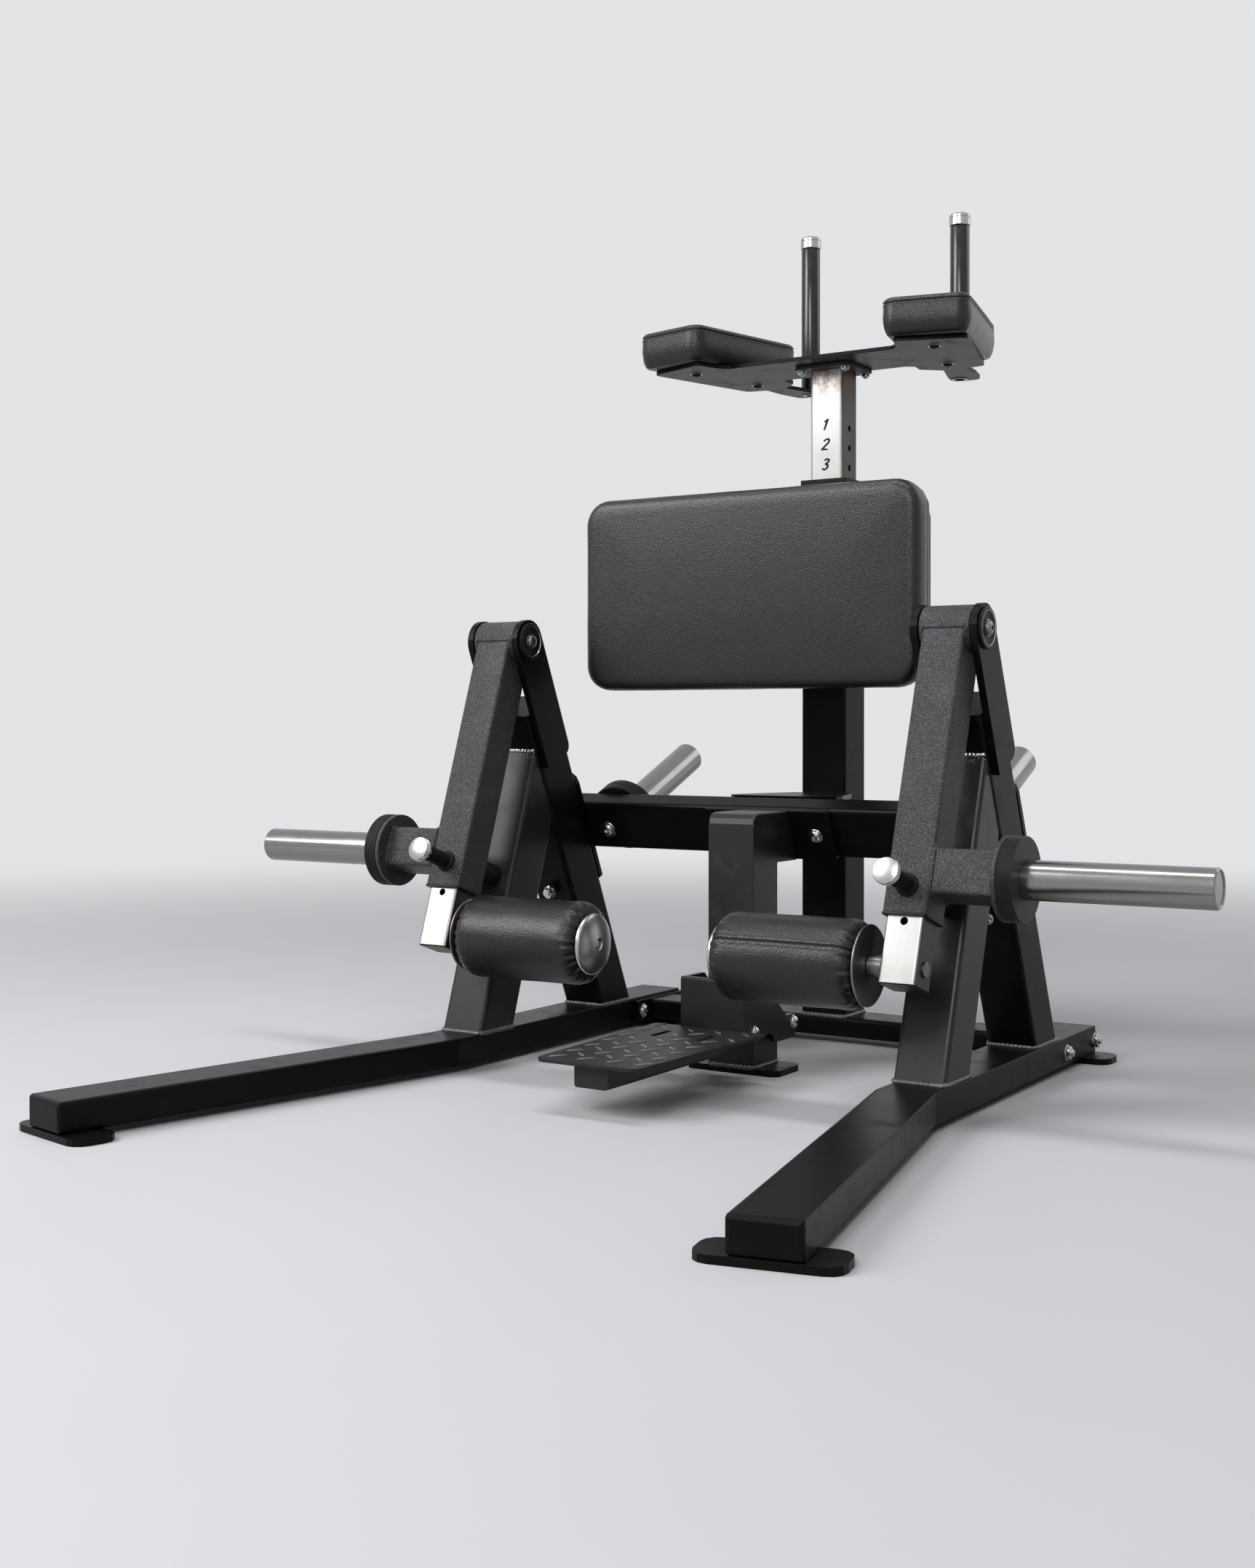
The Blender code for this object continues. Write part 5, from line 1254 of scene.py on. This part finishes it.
lugs = Piece("tread_lugs", "frame", "satin_black")
skew = Matrix.Rotation(math.radians(4.0), 2)
placed = 0
for i in range(-3, 4):
    for j in range(-1, 9):
        for shift, angle in ((0.0, -41.0), (0.5, 52.0)):
            spot = skew @ Vector(((i + shift) * LUG_PITCH[0] + LUG_START[0],
                                  (j + shift) * LUG_PITCH[1]))
            x, y = spot.x, spot.y + LUG_START[1]
            half = TREAD_HALF + TREAD_FLARE * (y - TREAD_NEAR) - LUG_MARGIN
            past_edge = abs(x) > half or not LUG_FIELD[0] < y < LUG_FIELD[1]
            over_slot = abs(abs(x) - SLOT[0]) < 0.018 and abs(y - SLOT[1]) < 0.040
            if not past_edge and not over_slot:
                lug(lugs, x, y, angle)
                placed += 1
lugs.done(60)
print("lugs:", placed)

# %% [markdown]
# ## Weld beads
#
# Where tube meets tube a bead runs round the joint, built up of overlapping drops. The beads under
# the powder coat are black, with a little more shine than the tubes; those round the feet of the
# legs and posts are also painted lighter, a painted highlight along them. The one at the top of
# each front leg was ground and left bright, and its spatter sits around it.

# %% Beads under the coat
BASE_PLATE_TOP = 0.0098
MAST_FOOT = 0.0440
welds = Piece("frame_welds", "frame", "satin_black")
rear_y = PIVOT[0] + (PIVOT[1] - RAIL_TOP) * math.tan(REAR_LEAN)
feet = []
for side in (-1, 1):
    for y, lean in ((rear_y, REAR_LEAN), (FRONT_FOOT_Y, FRONT_LEAN)):
        feet.append((LEG_W, LEG_D / math.cos(lean), move(side * LEG_X, y, RAIL_TOP + 0.0006)))
feet += [(75, 75, move(z=BASE_PLATE_TOP)), (76.5, 76.5, move(y=MAST_Y, z=MAST_FOOT))]
# The beads round the feet wear the weld coat, painted lighter as a painted highlight.
for seed, (width, depth, place) in enumerate(feet, 11):
    welds.bead(laid(place, rounded(width, depth, 7)), 3.8, WELD_COAT_PAINTED_HIGHLIGHT, seed, True)
print("frame beads:", len(feet))

# %% Beads on the swing arms
for tag, word, side in SIDES:
    arm_weld = Piece(f"arm_welds_{tag}", f"{word}_arm", "wrinkle_black")
    here = arm_frame(side * LEG_X)
    stub = here @ move(x=side * 0.0302, z=-HORN_S) @ toward_x(side)
    arm_weld.bead(laid(stub, STUB_OUTLINE), 2.4, WRINKLE, 31 + side, True)
    for end in (-1, 1):
        arc = [polar(30.8, math.radians(-165 + 12.5 * k)) for k in range(13)]
        arm_weld.bead([here @ (Vector((end * 30.3, p.x, p.y)) * MM) for p in arc], 2.2, WRINKLE,
                      41 + side + end)
    for face in (-1, 1):
        arm_weld.bead([here @ (Vector((x, face * 30, -8.2)) * MM) for x in (-29, 29)], 2.2,
                      WRINKLE, 51 + face + side)
    arm_weld.done(60)
print("arm beads ready")


# %% Bright bead at the top of each front leg
def meet(x, y):
    """Where a line up the front leg meets the front face of the rear leg."""
    low, high = (rear_frame(0).inverted() @ (front_frame(0) @ Vector((0, y, z))) for z in (0, 1))
    return front_frame(x) @ Vector((0, y, (-HALF_LEG - low.y) / (high.y - low.y)))


bright = Piece("bright_welds", "frame", "polished_steel")
draw = random.Random(77)
half = (LEG_W / 2 - 1) * MM
left, right = Vector((-half, 0, 0)), Vector((half, 0, 0))
for side in (-1, 1):
    front, rear = (meet(side * LEG_X, y) for y in (-HALF_LEG, HALF_LEG))
    bright.bead([front + left, front + right], 3.4, WELD_STEEL, 61 + side)
    for edge in (right, left):
        bright.bead([front + edge, rear + edge], 2.6, SATIN, 65 + side)
    for k in range(26):
        along = draw.uniform(-half, half)
        down = draw.uniform(0.002, 0.012)
        spot = front + Vector((along, 0, 0))
        spot += front_frame(0).to_3x3() @ Vector((0, -0.0002, -down))
        size = draw.uniform(0.3, 0.8)
        bright.turn([(0, size), (size * 0.7, size * 0.7), (size, 0), (0, -size * 0.2)],
                    move(*spot) @ FORWARD, WELD_STEEL, 8)
bright.done(60)
welds.done(60)
print("welds done")

# %% [markdown]
# ## Numbers on the post
#
# The height marks are brushed on by hand in black: plain numbers 1, 2 and 3. Each is a flat stroke
# that swells and thins, lying just proud of the steel.

# %% Height numbers
POST_FRONT = MAST_Y - 0.028
FIRST_NUMBER, HOLE_PITCH = 0.983, 0.0315
LEANING_AND_FLAT = Matrix(((1.15, 0.26, 0, 0), (0, 0, 0.14, 0), (0, 1, 0, 0), (0, 0, 0, 1)))
STROKES = {
    "1": ((-3.4, 4.4), (-0.8, 6), (1.2, 8.4), (0.8, 4), (0, -2), (-0.6, -8.6)),
    "2": ((-4, 4.8), (-2.2, 7.8), (2, 8.4), (4.2, 5.8), (3.4, 2.6), (-0.8, -2.6), (-4.6, -7.8),
          (-1, -7.4), (4.4, -8.2)),
    "3": ((-3.8, 6.2), (-0.4, 8.6), (3.8, 6.4), (2.6, 2.6), (-0.8, 0.8), (3.2, -1.2), (3.6, -5.6),
          (0, -8.6), (-4.4, -6.4)),
}
numbers = Piece("height_numbers", "arm_rest", "plastic")
for k, stroke in enumerate(STROKES.values()):
    place = move(0, POST_FRONT - 0.0001, FIRST_NUMBER - k * HOLE_PITCH) @ LEANING_AND_FLAT
    path = walk([Vector((x, y, 0)) * MM for x, y in stroke], 0.0006)
    for _ in range(3):
        inner = [(a + b * 2 + c) / 4 for a, b, c in zip(path, path[1:], path[2:])]
        path = [path[0]] + inner + [path[-1]]
    sizes = [1.1 + 0.6 * math.sin(math.pi * (0.12 + 0.8 * i / len(path)))
             for i in range(len(path))]
    numbers.sweep(path, sizes, INK, 8, False, place)
numbers.done(60)
print("numbers:", *STROKES)
